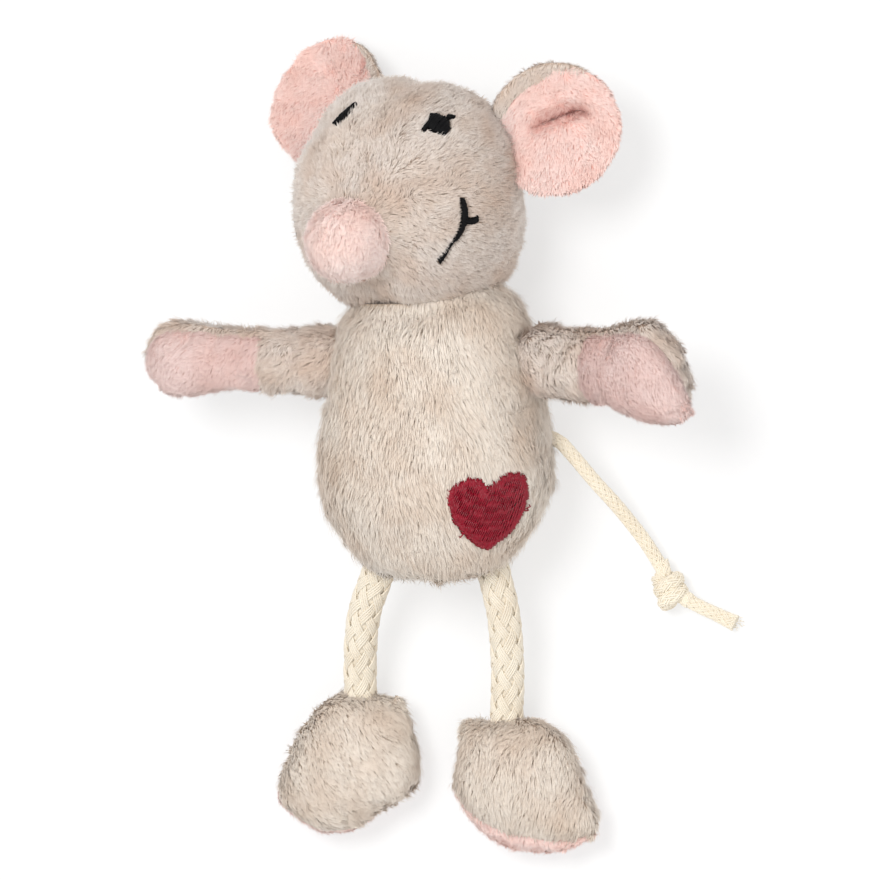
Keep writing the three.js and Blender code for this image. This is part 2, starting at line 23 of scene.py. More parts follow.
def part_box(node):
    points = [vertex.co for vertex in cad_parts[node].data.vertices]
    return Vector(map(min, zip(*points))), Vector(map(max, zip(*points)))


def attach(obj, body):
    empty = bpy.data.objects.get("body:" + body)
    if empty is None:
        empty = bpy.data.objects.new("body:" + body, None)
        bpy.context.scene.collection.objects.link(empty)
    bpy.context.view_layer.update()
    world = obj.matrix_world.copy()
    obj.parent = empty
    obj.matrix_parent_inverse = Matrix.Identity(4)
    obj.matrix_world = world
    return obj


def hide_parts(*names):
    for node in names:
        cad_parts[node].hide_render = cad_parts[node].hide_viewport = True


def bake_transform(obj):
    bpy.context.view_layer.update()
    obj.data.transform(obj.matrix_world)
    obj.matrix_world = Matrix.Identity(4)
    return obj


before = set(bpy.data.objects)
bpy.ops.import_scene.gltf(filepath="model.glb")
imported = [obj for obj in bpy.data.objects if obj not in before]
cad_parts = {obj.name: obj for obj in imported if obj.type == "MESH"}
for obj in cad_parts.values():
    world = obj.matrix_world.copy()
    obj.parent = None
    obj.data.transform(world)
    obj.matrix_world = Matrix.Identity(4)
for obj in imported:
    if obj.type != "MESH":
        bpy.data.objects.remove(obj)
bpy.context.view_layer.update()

# %% [markdown]
# ## One frame for everything
#
# The toy was measured from its heels, in millimetres: x to its own left, y towards its head and z up
# from the floor that it lies on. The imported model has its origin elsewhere, so the middle of the
# catnip pouch, which is known in both frames, gives the step from one to the other.

# %% From the toy's millimetres to the model's metres
MM = 0.001
POUCH_CENTRE = np.array((0.0, 102.0, 23.0))
pouch_low, pouch_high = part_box("catnip_pouch")
TOY_AT = (np.array(pouch_low) + np.array(pouch_high)) / 2 / MM - POUCH_CENTRE
FLOOR_CLEAR = 0.35  # how far the lowest strands and backing stay above the floor


def in_metres(points):
    """Points of the toy's own frame, in millimetres, as points of the model's frame, in metres."""
    return (np.asarray(points, float) + TOY_AT) * MM


print("the heels and middle line stand at", TOY_AT.round(2), "mm")

# %% [markdown]
# ## The camera
#
# The photograph was taken from above the lying toy, swung 18 degrees to the toy's left, through a long
# lens: the legs and arms show hardly any perspective. One pixel of the photograph is 0.245 mm.

# %% Camera
PHOTO_SIDE = 880
PIXEL = 0.245
CAMERA_SWING = math.radians(18)
CAMERA_AWAY = 2400.0
LOOKS_AT = (-6.5, 101.7, 19.0)  # across, up and towards the camera, in the photograph's directions
SENSOR = 36.0

photo_right = np.array((math.cos(CAMERA_SWING), 0, -math.sin(CAMERA_SWING)))
photo_up = np.array((0.0, 1.0, 0.0))
photo_back = np.array((math.sin(CAMERA_SWING), 0, math.cos(CAMERA_SWING)))


def add_camera():
    target = LOOKS_AT[0] * photo_right + LOOKS_AT[1] * photo_up + LOOKS_AT[2] * photo_back
    data = bpy.data.cameras.new("camera")
    data.sensor_width = SENSOR
    data.lens = SENSOR * CAMERA_AWAY / (PHOTO_SIDE * PIXEL)
    data.clip_start = 0.1
    data.clip_end = 20
    camera = bpy.data.objects.new("camera", data)
    camera.location = in_metres(target + photo_back * CAMERA_AWAY)
    axes = Matrix((photo_right, photo_up, photo_back)).transposed()
    camera.rotation_mode = "QUATERNION"
    camera.rotation_quaternion = axes.to_quaternion()
    bpy.context.scene.collection.objects.link(camera)
    bpy.context.scene.camera = camera
    print("lens:", round(data.lens), "mm")


add_camera()

# %% [markdown]
# ## Curves and swelling forms
#
# Every stuffed piece swells and tapers like a bottle laid down: an outline gives its half width at each
# place along it, and a rounded section turns that into a form. One function makes them all, so the
# head, body, arms and feet differ only in their outlines.


# %% A smooth curve through points
def spline(points, shares):
    """Points of a smooth curve through the given ones. Shares run from 0 at the first to 1 at the last."""
    points = np.array(points, float)
    spans = len(points) - 1
    place = np.clip(np.asarray(shares, float) * spans, 0, spans - 1e-9)
    first = place.astype(int)
    w = (place - first)[:, None]
    before = points[np.maximum(first - 1, 0)]
    here = points[first]
    there = points[first + 1]
    after = points[np.minimum(first + 2, spans)]
    leave = (there - before) / 2
    arrive = (after - here) / 2
    cubic = (2 * here - 2 * there + leave + arrive) * w**3
    square = (3 * there - 3 * here - 2 * leave - arrive) * w**2
    return cubic + square + leave * w + here


# %% A form from its outline
def swelling_form(spec, rings=84, sides=96):
    """Points and faces of a closed form along +Y. Its section has the half width of the outline."""
    curve = spline([(half, along) for along, half, *_ in spec["outline"]], np.linspace(0, 1, rings + 1))
    turn = np.arange(sides) * 2 * np.pi / sides
    points = []
    for i, (half, along) in enumerate(curve):
        power = 2 / spec.get("square", lambda y: 2)(along)
        mid_x, mid_z = spec.get("middle", lambda y: (0, 0))(along)
        pole = i in (0, rings)
        wide = np.sign(np.cos(turn)) * np.abs(np.cos(turn)) ** power
        deep = np.sign(np.sin(turn)) * np.abs(np.sin(turn)) ** power
        across = mid_x + half * wide
        high = mid_z + half * spec["depth"](along) * deep
        ring = np.stack([across, np.full(sides, along), high], 1)
        points.append(np.array([(mid_x, along, mid_z)]) if pole else ring)
    last = 1 + (rings - 1) * sides
    faces = []
    for k in range(sides):
        n = (k + 1) % sides
        faces.append((0, 1 + k, 1 + n))
        faces.append((last, last - sides + n, last - sides + k))
        for i in range(rings - 2):
            a = 1 + i * sides
            b = a + sides
            faces.append((a + k, b + k, b + n, a + n))
    return np.concatenate(points), faces


def placed(points, matrix):
    """Points moved by a 4 x 4 matrix."""
    m = np.array(matrix, float)
    return np.asarray(points) @ m[:3, :3].T + m[:3, 3]


def turned(vectors, matrix):
    """Directions turned by a 4 x 4 matrix."""
    return np.asarray(vectors, float) @ np.array(matrix, float)[:3, :3].T


def unit(vectors):
    vectors = np.asarray(vectors, float)
    return vectors / np.maximum(np.linalg.norm(vectors, axis=-1, keepdims=True), 1e-9)


# %% Meshes from points and faces
def mesh_of(name, points, faces):
    mesh = bpy.data.meshes.new(name)
    mesh.from_pydata(np.asarray(points, float).tolist(), [], [list(map(int, f)) for f in faces])
    mesh.update()
    return mesh


def normals_of(points, faces):
    mesh = mesh_of("measure", points, faces)
    normals = np.zeros(len(points) * 3, np.float32)
    mesh.vertex_normals.foreach_get("vector", normals)
    bpy.data.meshes.remove(mesh)
    return normals.reshape(-1, 3).astype(float)


def object_of(name, mesh):
    """A piece whose mesh is in the toy's millimetres, moved to the model's frame."""
    points = np.zeros(len(mesh.vertices) * 3, np.float32)
    mesh.vertices.foreach_get("co", points)
    mesh.vertices.foreach_set("co", in_metres(points.reshape(-1, 3)).astype(np.float32).ravel())
    mesh.polygons.foreach_set("use_smooth", [True] * len(mesh.polygons))
    mesh.update()
    piece = bpy.data.objects.new(name, mesh)
    bpy.context.scene.collection.objects.link(piece)
    return piece


def finished_piece(name, mesh, look, node=None):
    """A piece with its material. Where there is one, the solid that it stands for is hidden."""
    piece = object_of(name, mesh)
    piece.data.materials.append(look)
    if node:
        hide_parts(node)
    return piece


def cut_off(bm, at, towards):
    """Keeps what lies on the side of a plane that towards shows."""
    everything = bm.verts[:] + bm.edges[:] + bm.faces[:]
    bmesh.ops.bisect_plane(bm, geom=everything, plane_co=at, plane_no=towards, clear_inner=True)


# %% Smooth random change over a surface
RIPPLE_WAVES = 9
RIPPLE_GAIN = 1.9  # brings the mean of the waves to about -1 to 1


def ripple(points, size, seed, channels=1):
    """A value from about -1 to 1 at each point, which changes smoothly over about the given size."""
    rng = np.random.default_rng(seed)
    ways = unit(rng.normal(size=(channels, RIPPLE_WAVES, 3)))
    ways *= 2 * np.pi / size * rng.uniform(0.6, 1.5, (channels, RIPPLE_WAVES, 1))
    phase = rng.uniform(0, 2 * np.pi, (channels, RIPPLE_WAVES))
    value = np.sin(np.einsum("nd,cwd->ncw", points, ways) + phase).mean(2) * RIPPLE_GAIN
    return value[:, 0] if channels == 1 else value


# %% [markdown]
# ## Colours and finishes
#
# Colours are written as a picture program shows them and turned into the linear values that Blender
# works with. A few helpers keep the node trees short.


# %% Colour helper
def colour(red, green, blue):
    """A colour as a picture shows it, from 0 to 255, as Blender's linear colour."""
    parts = [c / 255 for c in (red, green, blue)]
    return (*[p / 12.92 if p <= 0.04045 else ((p + 0.055) / 1.055) ** 2.4 for p in parts], 1.0)


# %% Helpers for node trees
def new_material(name):
    material = bpy.data.materials.new(name)
    material.use_nodes = True
    tree = material.node_tree
    return material, tree, tree.nodes["Principled BSDF"]


def new_group(name, inputs, outputs):
    """An empty node group with named sockets. Each input is (name, kind, value)."""
    group = bpy.data.node_groups.new(name, "ShaderNodeTree")
    for socket, kind, value in inputs:
        made = group.interface.new_socket(socket, in_out="INPUT", socket_type=kind)
        made.default_value = value
    for socket, kind in outputs:
        group.interface.new_socket(socket, in_out="OUTPUT", socket_type=kind)
    return group, group.nodes.new("NodeGroupInput"), group.nodes.new("NodeGroupOutput")


def set_inputs(tree, node, inputs):
    """Inputs of a node: another node's output is linked, and anything else is set as a value."""
    for name, value in inputs.items():
        if isinstance(value, bpy.types.NodeSocket):
            tree.links.new(value, node.inputs[name])
        else:
            node.inputs[name].default_value = value


def add_node(tree, kind, inputs=None):
    node = tree.nodes.new("ShaderNode" + kind)
    set_inputs(tree, node, inputs or {})
    return node


def math_node(tree, operation, first, second):
    node = add_node(tree, "Math", {0: first, 1: second})
    node.operation = operation
    return node.outputs[0]


def mix_node(tree, share, first, second):
    node = add_node(tree, "Mix")
    node.data_type = "RGBA"
    set_inputs(tree, node, {0: share, 6: first, 7: second})
    return node.outputs[2]


def own_place(tree):
    """Places in the piece's own frame, in metres."""
    return add_node(tree, "TexCoord").outputs["Object"]


def add_noise(tree, place, size, detail=2, roughness=0.5):
    """Noise whose patches are about the given millimetres across."""
    inputs = {"Vector": place, "Scale": 1 / (size * MM), "Detail": detail, "Roughness": roughness}
    return add_node(tree, "TexNoise", inputs).outputs["Fac"]


def add_relief(tree, shader, height, millimetres, strength):
    """Fine relief on a surface. Whatever shows in outline is geometry instead."""
    inputs = {"Height": height, "Distance": millimetres * MM, "Strength": strength}
    tree.links.new(add_node(tree, "Bump", inputs).outputs["Normal"], shader.inputs["Normal"])


# %% [markdown]
# ## Braided cotton
#
# The legs are thick braided rope and the tail is a thin braided cord. In a round braid half of the
# strands wind one way and half the other, and each passes over one strand and under the next. A strand
# is a few yarns side by side. A bumped tube would be quicker, but the real strands give the stepped
# edge that the photograph shows, so each yarn is a tube of its own on a helix.


# %% Tubes along a line
def line_frames(points):
    """The direction of a line at each of its points, and two directions across it that don't twist."""
    along = unit(np.gradient(points, axis=0))
    first = np.cross(along[0], (0.0, 0.0, 1.0))
    if np.linalg.norm(first) < 1e-3:
        first = np.cross(along[0], (1.0, 0.0, 0.0))
    across = [unit(first)]
    for way in along[1:]:
        kept = across[-1] - way * (across[-1] @ way)
        across.append(unit(kept))
    across = np.array(across)
    return along, across, np.cross(along, across)


def tube(points, radii, sides):
    """Points and faces of a closed tube along a line."""
    points = np.asarray(points, float)
    _, across, over = line_frames(points)
    radii = np.broadcast_to(radii, len(points))
    turn = np.arange(sides) * 2 * np.pi / sides
    ring = np.cos(turn)[None, :, None] * across[:, None] + np.sin(turn)[None, :, None] * over[:, None]
    made = (points[:, None] + ring * radii[:, None, None]).reshape(-1, 3)
    faces = []
    for i in range(len(points) - 1):
        for k in range(sides):
            n = (k + 1) % sides
            faces.append((i * sides + k, i * sides + n, (i + 1) * sides + n, (i + 1) * sides + k))
    faces.append(tuple(range(sides))[::-1])
    faces.append(tuple(range((len(points) - 1) * sides, len(points) * sides)))
    return made, faces


def lengths_along(line):
    """How far along a line each of its points lies."""
    return np.concatenate([[0], np.cumsum(np.linalg.norm(np.diff(line, axis=0), axis=1))])


def read_along(at, length, values):
    """Values at places along a line, worked out between its points."""
    return np.stack([np.interp(at, length, channel) for channel in values.T], 1)


def gathered_parts(parts):
    """Several (points, faces) as one."""
    points = []
    faces = []
    count = 0
    for part_points, part_faces in parts:
        points.append(part_points)
        faces += [tuple(i + count for i in face) for face in part_faces]
        count += len(part_points)
    return np.concatenate(points), faces


# %% A round braid along a line
STRAND_SPREAD = 1.22  # how much wider a strand is than its share of the way round
YARN_SWELL = 1.1  # how much thicker a yarn is than its share of the strand
YARN_PACKING = 0.82  # how close the yarns of a strand lie, as a share of their thickness


def braid(line, radius, ways, yarns, angle, steps, relief=0.8, flare=0.0):
    """Yarn tubes of a round braid. ways is the number of strands that wind each way."""
    line = np.asarray(line, float)
    _, across, over = line_frames(line)
    length = lengths_along(line)
    at = np.linspace(0, length[-1], steps)
    middle = read_along(at, length, line)
    side = unit(read_along(at, length, across))
    top = unit(read_along(at, length, over))
    spin = math.tan(math.radians(angle)) / radius
    strand_width = 2 * math.pi * radius * math.cos(math.radians(angle)) / (2 * ways) * STRAND_SPREAD
    yarn = strand_width / yarns / 2 * YARN_SWELL
    lift = yarn * relief
    centre = radius - yarn - lift * 0.8
    swell = 1 + flare * np.clip((at - at[-1]) / (4 * radius) + 1, 0, 1) ** 2
    parts = []
    for way in (1, -1):
        for k in range(ways):
            for y in range(yarns):
                offset = (y - (yarns - 1) / 2) * 2 * yarn * YARN_PACKING / centre
                turn = 2 * math.pi * k / ways + way * spin * at + offset / math.cos(math.radians(angle))
                wave = np.cos(ways * (spin * at + way * offset / 2))
                away = (centre + way * lift * np.sign(wave) * np.abs(wave) ** 0.7) * swell
                out = np.cos(turn)[:, None] * side + np.sin(turn)[:, None] * top
                parts.append(tube(middle + away[:, None] * out, yarn, 6))
    parts.append(tube(middle, (centre - lift) * swell, 10))
    return gathered_parts(parts)


# %% Cotton
COTTON_PATCH = 6  # how far apart the darker patches lie
COTTON_CONTRAST = 1.9


def cotton_material(name, pale, shade, fuzz_size):
    """Matt cotton that is darker in patches, with fine fibres on it."""
    material, tree, shader = new_material(name)
    place = own_place(tree)
    fibres = add_noise(tree, place, fuzz_size, 6, 0.7)
    patches = add_noise(tree, place, COTTON_PATCH)
    share = math_node(tree, "MULTIPLY", math_node(tree, "MULTIPLY", fibres, patches), COTTON_CONTRAST)
    tone = mix_node(tree, share, pale, shade)
    set_inputs(tree, shader, {"Base Color": tone, "Roughness": 0.8, "Sheen Weight": 0.3})
    add_relief(tree, shader, fibres, 0.12, 0.6)
    return material


ROPE_COTTON = cotton_material("rope_cotton", colour(243, 236, 221), colour(224, 210, 188), 0.5)
CORD_COTTON = cotton_material("cord_cotton", colour(250, 243, 227), colour(231, 217, 193), 0.4)

# %% [markdown]
# ## Tail
#
# A thin braided cord comes out of the body's side seam, runs down to the floor and ends in a tight
# overhand knot with a short frayed end. Its route is laid through the same points as in the
# model, but it starts 6 mm inside the seam, so that no gap opens as it turns. The cord, the knot and the
# free end are held together on one body, the tail.

# %% Tail routes
TAIL_DIAMETER = 3.5
TAIL_BRAID = (6, 2, 38)  # strands each way, yarns in a strand and degrees of winding
TAIL_RELIEF = 0.45  # the thin cord is braided tighter than the rope, so its strands stand out less
TAIL_FLARE = 0.22  # how much the cord opens at its cut end
KNOT_SWELL = 1.12  # how much thicker the cord is where the knot loosens its braid
FRAY_FIBRES = 50
FRAY_REACH = 0.7
TAIL_ROUTE = (
    (23.6, 103.8, 16.9), (29, 101.3, 16), (31.5, 98.7, 15.3), (33.7, 96, 14.4), (35.9, 93, 13.1),
    (38.2, 90, 11.6), (40.6, 87, 9.9), (42.8, 84, 8.3), (44.8, 81.1, 6.8), (46.9, 78, 5.5),
    (48.9, 74.9, 4.7), (50.9, 71.6, 4.3), (52.7, 68.6, 4.1),
)
TAIL_END_ROUTE = (
    (57.2, 63.2, 4.0), (58.8, 62.2, 3.9), (61.6, 60.7, 3.3), (64.4, 59.4, 2.6), (67.3, 58, 2.2),
    (69.7, 56.9, 1.95),
)
KNOT_START = np.array((51.9, 70.6, 4.2))
KNOT_ALONG = np.array((0.34, -0.94, 0.0))
KNOT_ASIDE = np.array((0.94, 0.34, 0.0))
KNOT_TURNS = 2
KNOT_RADIUS = 2.3
KNOT_INWARDS = ((-1.6, 0), (1, 0.2), (5, 0.4), (8, 0.8))  # how far along and away, on the way in
KNOT_OUTWARDS = ((3.6, -0.8), (5.6, 0.6), (7.8, 1.9))
KNOT_LAST = 8.6  # where along the knot the two turns start, and how far back they go
KNOT_BACK = 5.9


def knot_point(along, degrees, away):
    """A place in the knot: how far along it, and at which angle and distance from its axis."""
    turn = math.radians(degrees)
    out = KNOT_ASIDE * math.cos(turn) + np.array((0, 0, math.sin(turn)))
    return KNOT_START + KNOT_ALONG * along + out * away


def knot_route():
    """Down the middle, twice round it on the way back, and out between the two turns."""
    route = [knot_point(along, 180, away) for along, away in KNOT_INWARDS]
    for share in np.linspace(0, 1, 12 * KNOT_TURNS):
        degrees = 190 - 360 * KNOT_TURNS * share
        route.append(knot_point(KNOT_LAST - KNOT_BACK * share, degrees, KNOT_RADIUS))
    route += [knot_point(along, 0, away) for along, away in KNOT_OUTWARDS]
    return [*route, np.array(TAIL_END_ROUTE[0]), np.array(TAIL_END_ROUTE[1])]


# %% Tail pieces
def frayed_end(line, count, reach, seed):
    """Loose fibres at the end of a cord."""
    rng = np.random.default_rng(seed)
    way = unit(line[-1] - line[-2])
    parts = []
    for _ in range(count):
        start = line[-1] + rng.normal(0, TAIL_DIAMETER * 0.24, 3)
        lean = unit(way + rng.normal(0, 0.35, 3))
        long = reach * rng.uniform(0.4, 1)
        points = np.stack([start, start + lean * long * 0.5, start + unit(lean + way * 0.3) * long])
        points[:, 2] = np.maximum(points[:, 2], FLOOR_CLEAR)
        parts.append(tube(points, np.array((0.11, 0.10, 0.05)), 4))
    return gathered_parts(parts)


def add_tail():
    line = spline(TAIL_ROUTE, np.linspace(0, 1, 90))
    radius = TAIL_DIAMETER / 2
    knot_line = spline(knot_route(), np.linspace(0, 1, 220))
    end_line = spline(TAIL_END_ROUTE, np.linspace(0, 1, 40))
    end_braid = braid(end_line, radius, *TAIL_BRAID, 60, TAIL_RELIEF, TAIL_FLARE)
    made = {
        "tail_cord": braid(line, radius, *TAIL_BRAID, 150, TAIL_RELIEF),
        "tail_knot": braid(knot_line, radius * KNOT_SWELL, *TAIL_BRAID, 330, TAIL_RELIEF),
        "tail_end": gathered_parts([end_braid, frayed_end(end_line, FRAY_FIBRES, FRAY_REACH, 5)]),
    }
    for node, shape in made.items():
        piece = finished_piece(f"{node}_braid", mesh_of(node, *shape), CORD_COTTON, node)
        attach(piece, "tail")


add_tail()

# %% [markdown]
# ## Legs
#
# Each leg is a length of thick braided rope, caught in the body's bottom seam and in the top of the
# foot. It bends where it leaves the body and where it enters the foot. A piece can bend at one joint
# only, so the rope is two pieces that meet half way, where both follow the leg.

# %% Leg routes
ROPE_RADIUS = 4.15
LEGS = {
    "left": {
        "route": ((13.7, 67.8, 19.4), (15.1, 60.5, 18.1), (15.4, 53, 16), (14.8, 44, 12.8), (13.6, 35, 9.8)),
        "foot": (17.6, 17, 9.3),
        "splay": 43,
        "sole_up": (0.2, 0.55, 0.81),
        "nap": (-0.15, -1.0, 0.0),
        "outline": (
            (-22.8, 0, 5), (-22, 2.8, 4.7), (-20, 6.3, 3.2), (-16, 9.9, 1.5), (-10, 13.4, 0.2),
            (-4, 15.7, -0.4), (2, 16.5, -0.1), (8, 15.3, -0.5), (12, 13.2, -1.2), (15, 9.8, -0.5),
            (18, 6.3, -0.4), (21, 3.2, -0.5), (22.2, 0, -0.4),
        ),
    },
    "right": {
        "route": (
            (-17, 67.8, 19.4), (-20.3, 60.5, 17.6), (-22.2, 54, 15.3), (-23.4, 47, 12.6), (-24.3, 40.2, 9.8),
        ),
        "foot": (-27.6, 22.2, 9.3),
        "splay": -39,
        "sole_up": (0.14, 0.22, 0.96),
        "nap": (0.75, -0.8, 0.0),
        "outline": (
            (-20.5, 0, -3.6), (-20, 4.7, -3.3), (-18, 8.7, -1.5), (-14, 12, -0.4), (-8, 14.3, -0.1),
            (-2, 15.6, 0.1), (3, 16.3, 1), (8, 15.8, 1.2), (12, 13.5, 0.8), (16, 8.6, 0.8),
            (19, 4.6, 0.5), (21.2, 0, 0.2),
        ),
    },
}
ROPE_STRANDS = 6
ROPE_YARNS = 4
ROPE_ANGLE = 33
BEND_LENGTH = 9.0  # how much of the rope turns with a joint
ROPE_IN_BODY = 5  # how far the rope goes on inside the body
ROPE_IN_FOOT = 3


# %% Leg pieces
def add_leg(hand, leg):
    route = np.array(leg["route"])
    line = spline(route, np.linspace(0, 1, 80))
    leaves = unit(route[1] - route[0])
    enters = unit(route[-1] - route[-2])
    inside = unit(route[0] - route[1]) * ROPE_IN_BODY + route[0]
    line = np.concatenate([[inside], line, [enters * ROPE_IN_FOOT + route[-1]]])
    points, faces = braid(line, ROPE_RADIUS, ROPE_STRANDS, ROPE_YARNS, ROPE_ANGLE, 110)
    middle = line[len(line) // 2]
    way = unit(line[len(line) // 2 + 1] - middle)
    bends = (
        ("upper", "torso", f"leg_{hand}", route[0] - 0.3 * BEND_LENGTH * leaves, route[1], -way),
        ("lower", f"leg_{hand}", f"foot_{hand}", route[-1] - BEND_LENGTH * enters, route[-1], way),
    )
    for part, first, second, start, end, side in bends:
        name = f"leg_rope_{hand}_{part}"
        mesh = mesh_of(name, points, faces)
        bm = bmesh.new()
        bm.from_mesh(mesh)
        cut_off(bm, middle, side)
        bm.to_mesh(mesh)
        bm.free()
        rope = finished_piece(name, mesh, ROPE_COTTON, f"leg_rope_{hand}")
        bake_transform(rope)


for hand, leg in LEGS.items():
    add_leg(hand, leg)

# %% [markdown]
# ## Panels and seams
#
# A sewn toy is flat panels joined inside out, so each seam is a narrow valley where two panels dive
# under the pile. The form is pressed in along the seam first and cut into its panels there. Each panel
# becomes a piece of its own, with the thickness of the knitted backing.

# %% Cut panels from a form
SKIN_UNDER = 1.25  # how far the backing lies under the tips of the pile
BACKING = 0.5


def pressed_in(points, normals, from_seam, depth, width):
    """Points moved in near a seam. from_seam is each point's distance from it."""
    return points - normals * (depth * np.exp(-((from_seam / width) ** 2)))[:, None]


def cut_panel(points, faces, planes, keep=None):
    """The points and triangles of a form on the side of each plane that its direction shows."""
    mesh = mesh_of("cut", points, faces)
    bm = bmesh.new()
    bm.from_mesh(mesh)
    for at, towards in planes:
        cut_off(bm, at, towards)
    if keep is not None:
        middles = np.array([f.calc_center_median() for f in bm.faces])
        gone = [f for f, stays in zip(bm.faces[:], keep(middles)) if not stays]
        bmesh.ops.delete(bm, geom=gone, context="FACES")
    bmesh.ops.triangulate(bm, faces=bm.faces[:])
    bm.to_mesh(mesh)
    bm.free()
    cut = np.array([v.co for v in mesh.vertices], float)
    triangles = np.array([tuple(p.vertices) for p in mesh.polygons], int)
    bpy.data.meshes.remove(mesh)
    return cut, triangles


def above_floor(points):
    points = points.copy()
    points[:, 2] = np.maximum(points[:, 2], FLOOR_CLEAR)
    return points


def rim_of(triangles):
    """The edges that only one triangle has, each as two points in that triangle's order."""
    edges = triangles[:, [0, 1, 1, 2, 2, 0]].reshape(-1, 2)
    _, first, count = np.unique(np.sort(edges, axis=1), axis=0, return_index=True, return_counts=True)
    return edges[first[count == 1]]


def backing_mesh(name, points, triangles):
    """A panel's backing with its thickness, inwards, closed along its rim."""
    inner = points - normals_of(points, triangles) * BACKING
    count = len(points)
    rim = rim_of(triangles)
    walls = np.stack([rim[:, 1], rim[:, 0], rim[:, 0] + count, rim[:, 1] + count], 1)
    faces = [*triangles.tolist(), *(triangles[:, ::-1] + count).tolist(), *walls.tolist()]
    return mesh_of(name, np.concatenate([points, inner]), faces)


# %% [markdown]
# ## Stuffing
#
# Stuffing presses the cloth outwards while the seams hold it, so a sewn form is fuller between its seams
# and puckers beside them. Blender's cloth works this out: the form's cloth is given a little too much
# size and some pressure, and is pinned along the seams. Then its shape is kept and the cloth is gone. How
# far a point may move is capped, because the model leaves small gaps between the pieces.

# %% Stuff a form
CLOTH_SCALE = 0.02  # cloth is worked out much larger than the toy, at the size that it is made for
CLOTH_FRAMES = 20
CLOTH_PRESSURE = 3.0
CLOTH_SPARE = 0.07  # how much too large the cloth is cut
CLOTH_REACH = 1.3  # the furthest that a point moves, in millimetres
SEWN_WIDTH = 1.2  # cloth this near a seam is pinned
SEAM_EASE = 4  # how far from a seam the stuffing moves the cloth in full
LUMP = 0.25
LUMP_SIZE = 14


def stuffed(points, faces, from_seam, seed):
    """A form's points after stuffing. from_seam is each point's distance from its nearest seam."""
    outwards = normals_of(points, faces)
    lumps = LUMP * ripple(points, LUMP_SIZE, seed)[:, None] * outwards
    mesh = mesh_of("cloth", (points + lumps) * CLOTH_SCALE, faces)
    piece = bpy.data.objects.new("cloth", mesh)
    bench = bpy.data.scenes.new("bench")  # a scene of its own, so that only the cloth is worked out
    bench.collection.objects.link(piece)
    sewn = piece.vertex_groups.new(name="sewn")
    sewn.add(np.nonzero(np.abs(from_seam) < SEWN_WIDTH)[0].tolist(), 1.0, "REPLACE")
    modifier = piece.modifiers.new("cloth", "CLOTH")
    cloth = modifier.settings
    cloth.quality = 5
    cloth.mass = 0.3
    cloth.bending_stiffness = 0.2
    cloth.vertex_group_mass = "sewn"
    cloth.use_pressure = True
    cloth.uniform_pressure_force = CLOTH_PRESSURE
    cloth.shrink_min = -CLOTH_SPARE
    cloth.effector_weights.gravity = 0
    modifier.point_cache.frame_start = 1
    modifier.point_cache.frame_end = CLOTH_FRAMES
    for number in range(1, CLOTH_FRAMES + 1):
        bench.frame_set(number)
    made = piece.evaluated_get(bench.view_layers[0].depsgraph)
    blown = np.array([v.co for v in made.data.vertices]) / CLOTH_SCALE
    bpy.data.objects.remove(piece)
    bpy.data.meshes.remove(mesh)
    bpy.data.scenes.remove(bench)
    move = blown - points
    swell = (move * outwards).sum(1)
    free = np.clip(np.abs(from_seam) / SEAM_EASE, 0, 1)
    move = outwards * ((swell - swell.mean()) * free)[:, None]
    far = np.linalg.norm(move, axis=1)[:, None] + 1e-9
    print("stuffed, moved by up to", round(float(far.max()), 2), "mm before the cap")
    return points + move / far * CLOTH_REACH * np.tanh(far / CLOTH_REACH)


# %% [markdown]
# ## Patches of embroidery
#
# The eyes, the smiles and the heart are stitched through the plush before the toy is stuffed. A patch is
# a few flat outlines with a place and a direction on the toy. The pile needs the patches first, because
# stitches press it down: no blade grows under a patch, and blades beside it are cut at its edge.


# %% Patches
PATCH_REACH = 12.0  # how far over and under its plane a patch is looked for
PATCH_SIDE = 14.0
# Painted sheen: the pile beside stitches is drawn lighter, for the light that brushed-back pile catches.
PATCH_HALO = 1.4  # the pile beside stitches is brushed back and looks lighter, this far from them


def patch_at(place, towards, twist, outlines, stands_in=None):
    """Flat outlines on a plane that looks one way, with the plane's place in the toy's frame."""
    turn = Vector((0, 0, 1)).rotation_difference(Vector(towards)).to_matrix().to_4x4()
    lies = Matrix.Translation(place) @ turn @ Matrix.Rotation(math.radians(twist), 4, "Z")
    outlines = [np.array(outline, float) for outline in outlines]
    return {"matrix": (stands_in or Matrix()) @ lies, "outlines": outlines}


def within(flat, outline):
    """Which flat points lie within an outline."""
    x, y = flat[:, 0], flat[:, 1]
    inside = np.zeros(len(flat), bool)
    for (ax, ay), (bx, by) in zip(outline, np.roll(outline, -1, axis=0)):
        if ay != by:
            inside ^= ((ay > y) != (by > y)) & (x < ax + (y - ay) * (bx - ax) / (by - ay))
    return inside


def around(patch, points):
    """The numbers of the points that lie near a patch, and their places on its plane."""
    local = placed(points, patch["matrix"].inverted())
    near = np.nonzero((np.abs(local) < (PATCH_SIDE, PATCH_SIDE, PATCH_REACH)).all(1))[0]
    return near, local[near, :2]


def covered(points, patches):
    """Which points lie on a patch."""
    hidden = np.zeros(len(points), bool)
    for patch in patches:
        near, flat = around(patch, points)
        for outline in patch["outlines"]:
            hidden[near] |= within(flat, outline)
    return hidden


def beside(points, patches):
    """How near points are to the edge of a patch, from 0 far away to 1 at the edge."""
    near = np.zeros(len(points))
    for patch in patches:
        close, flat = around(patch, points)
        for outline in patch["outlines"]:
            apart = np.linalg.norm(flat[:, None] - outline, axis=2).min(1)
            near[close] = np.maximum(near[close], np.exp(-((apart / PATCH_HALO) ** 2)))
    return near


def stroke_outline(points, widths):
    """The outline of a line whose width changes along it."""
    share = np.linspace(0, 1, 5 * len(points))
    line = spline(points, share)
    half = np.interp(share, np.linspace(0, 1, len(widths)), widths) / 2
    ahead = unit(np.gradient(line, axis=0))
    aside = np.stack([-ahead[:, 1], ahead[:, 0]], 1) * half[:, None]
    return np.concatenate([line - aside, (line + aside)[::-1]])


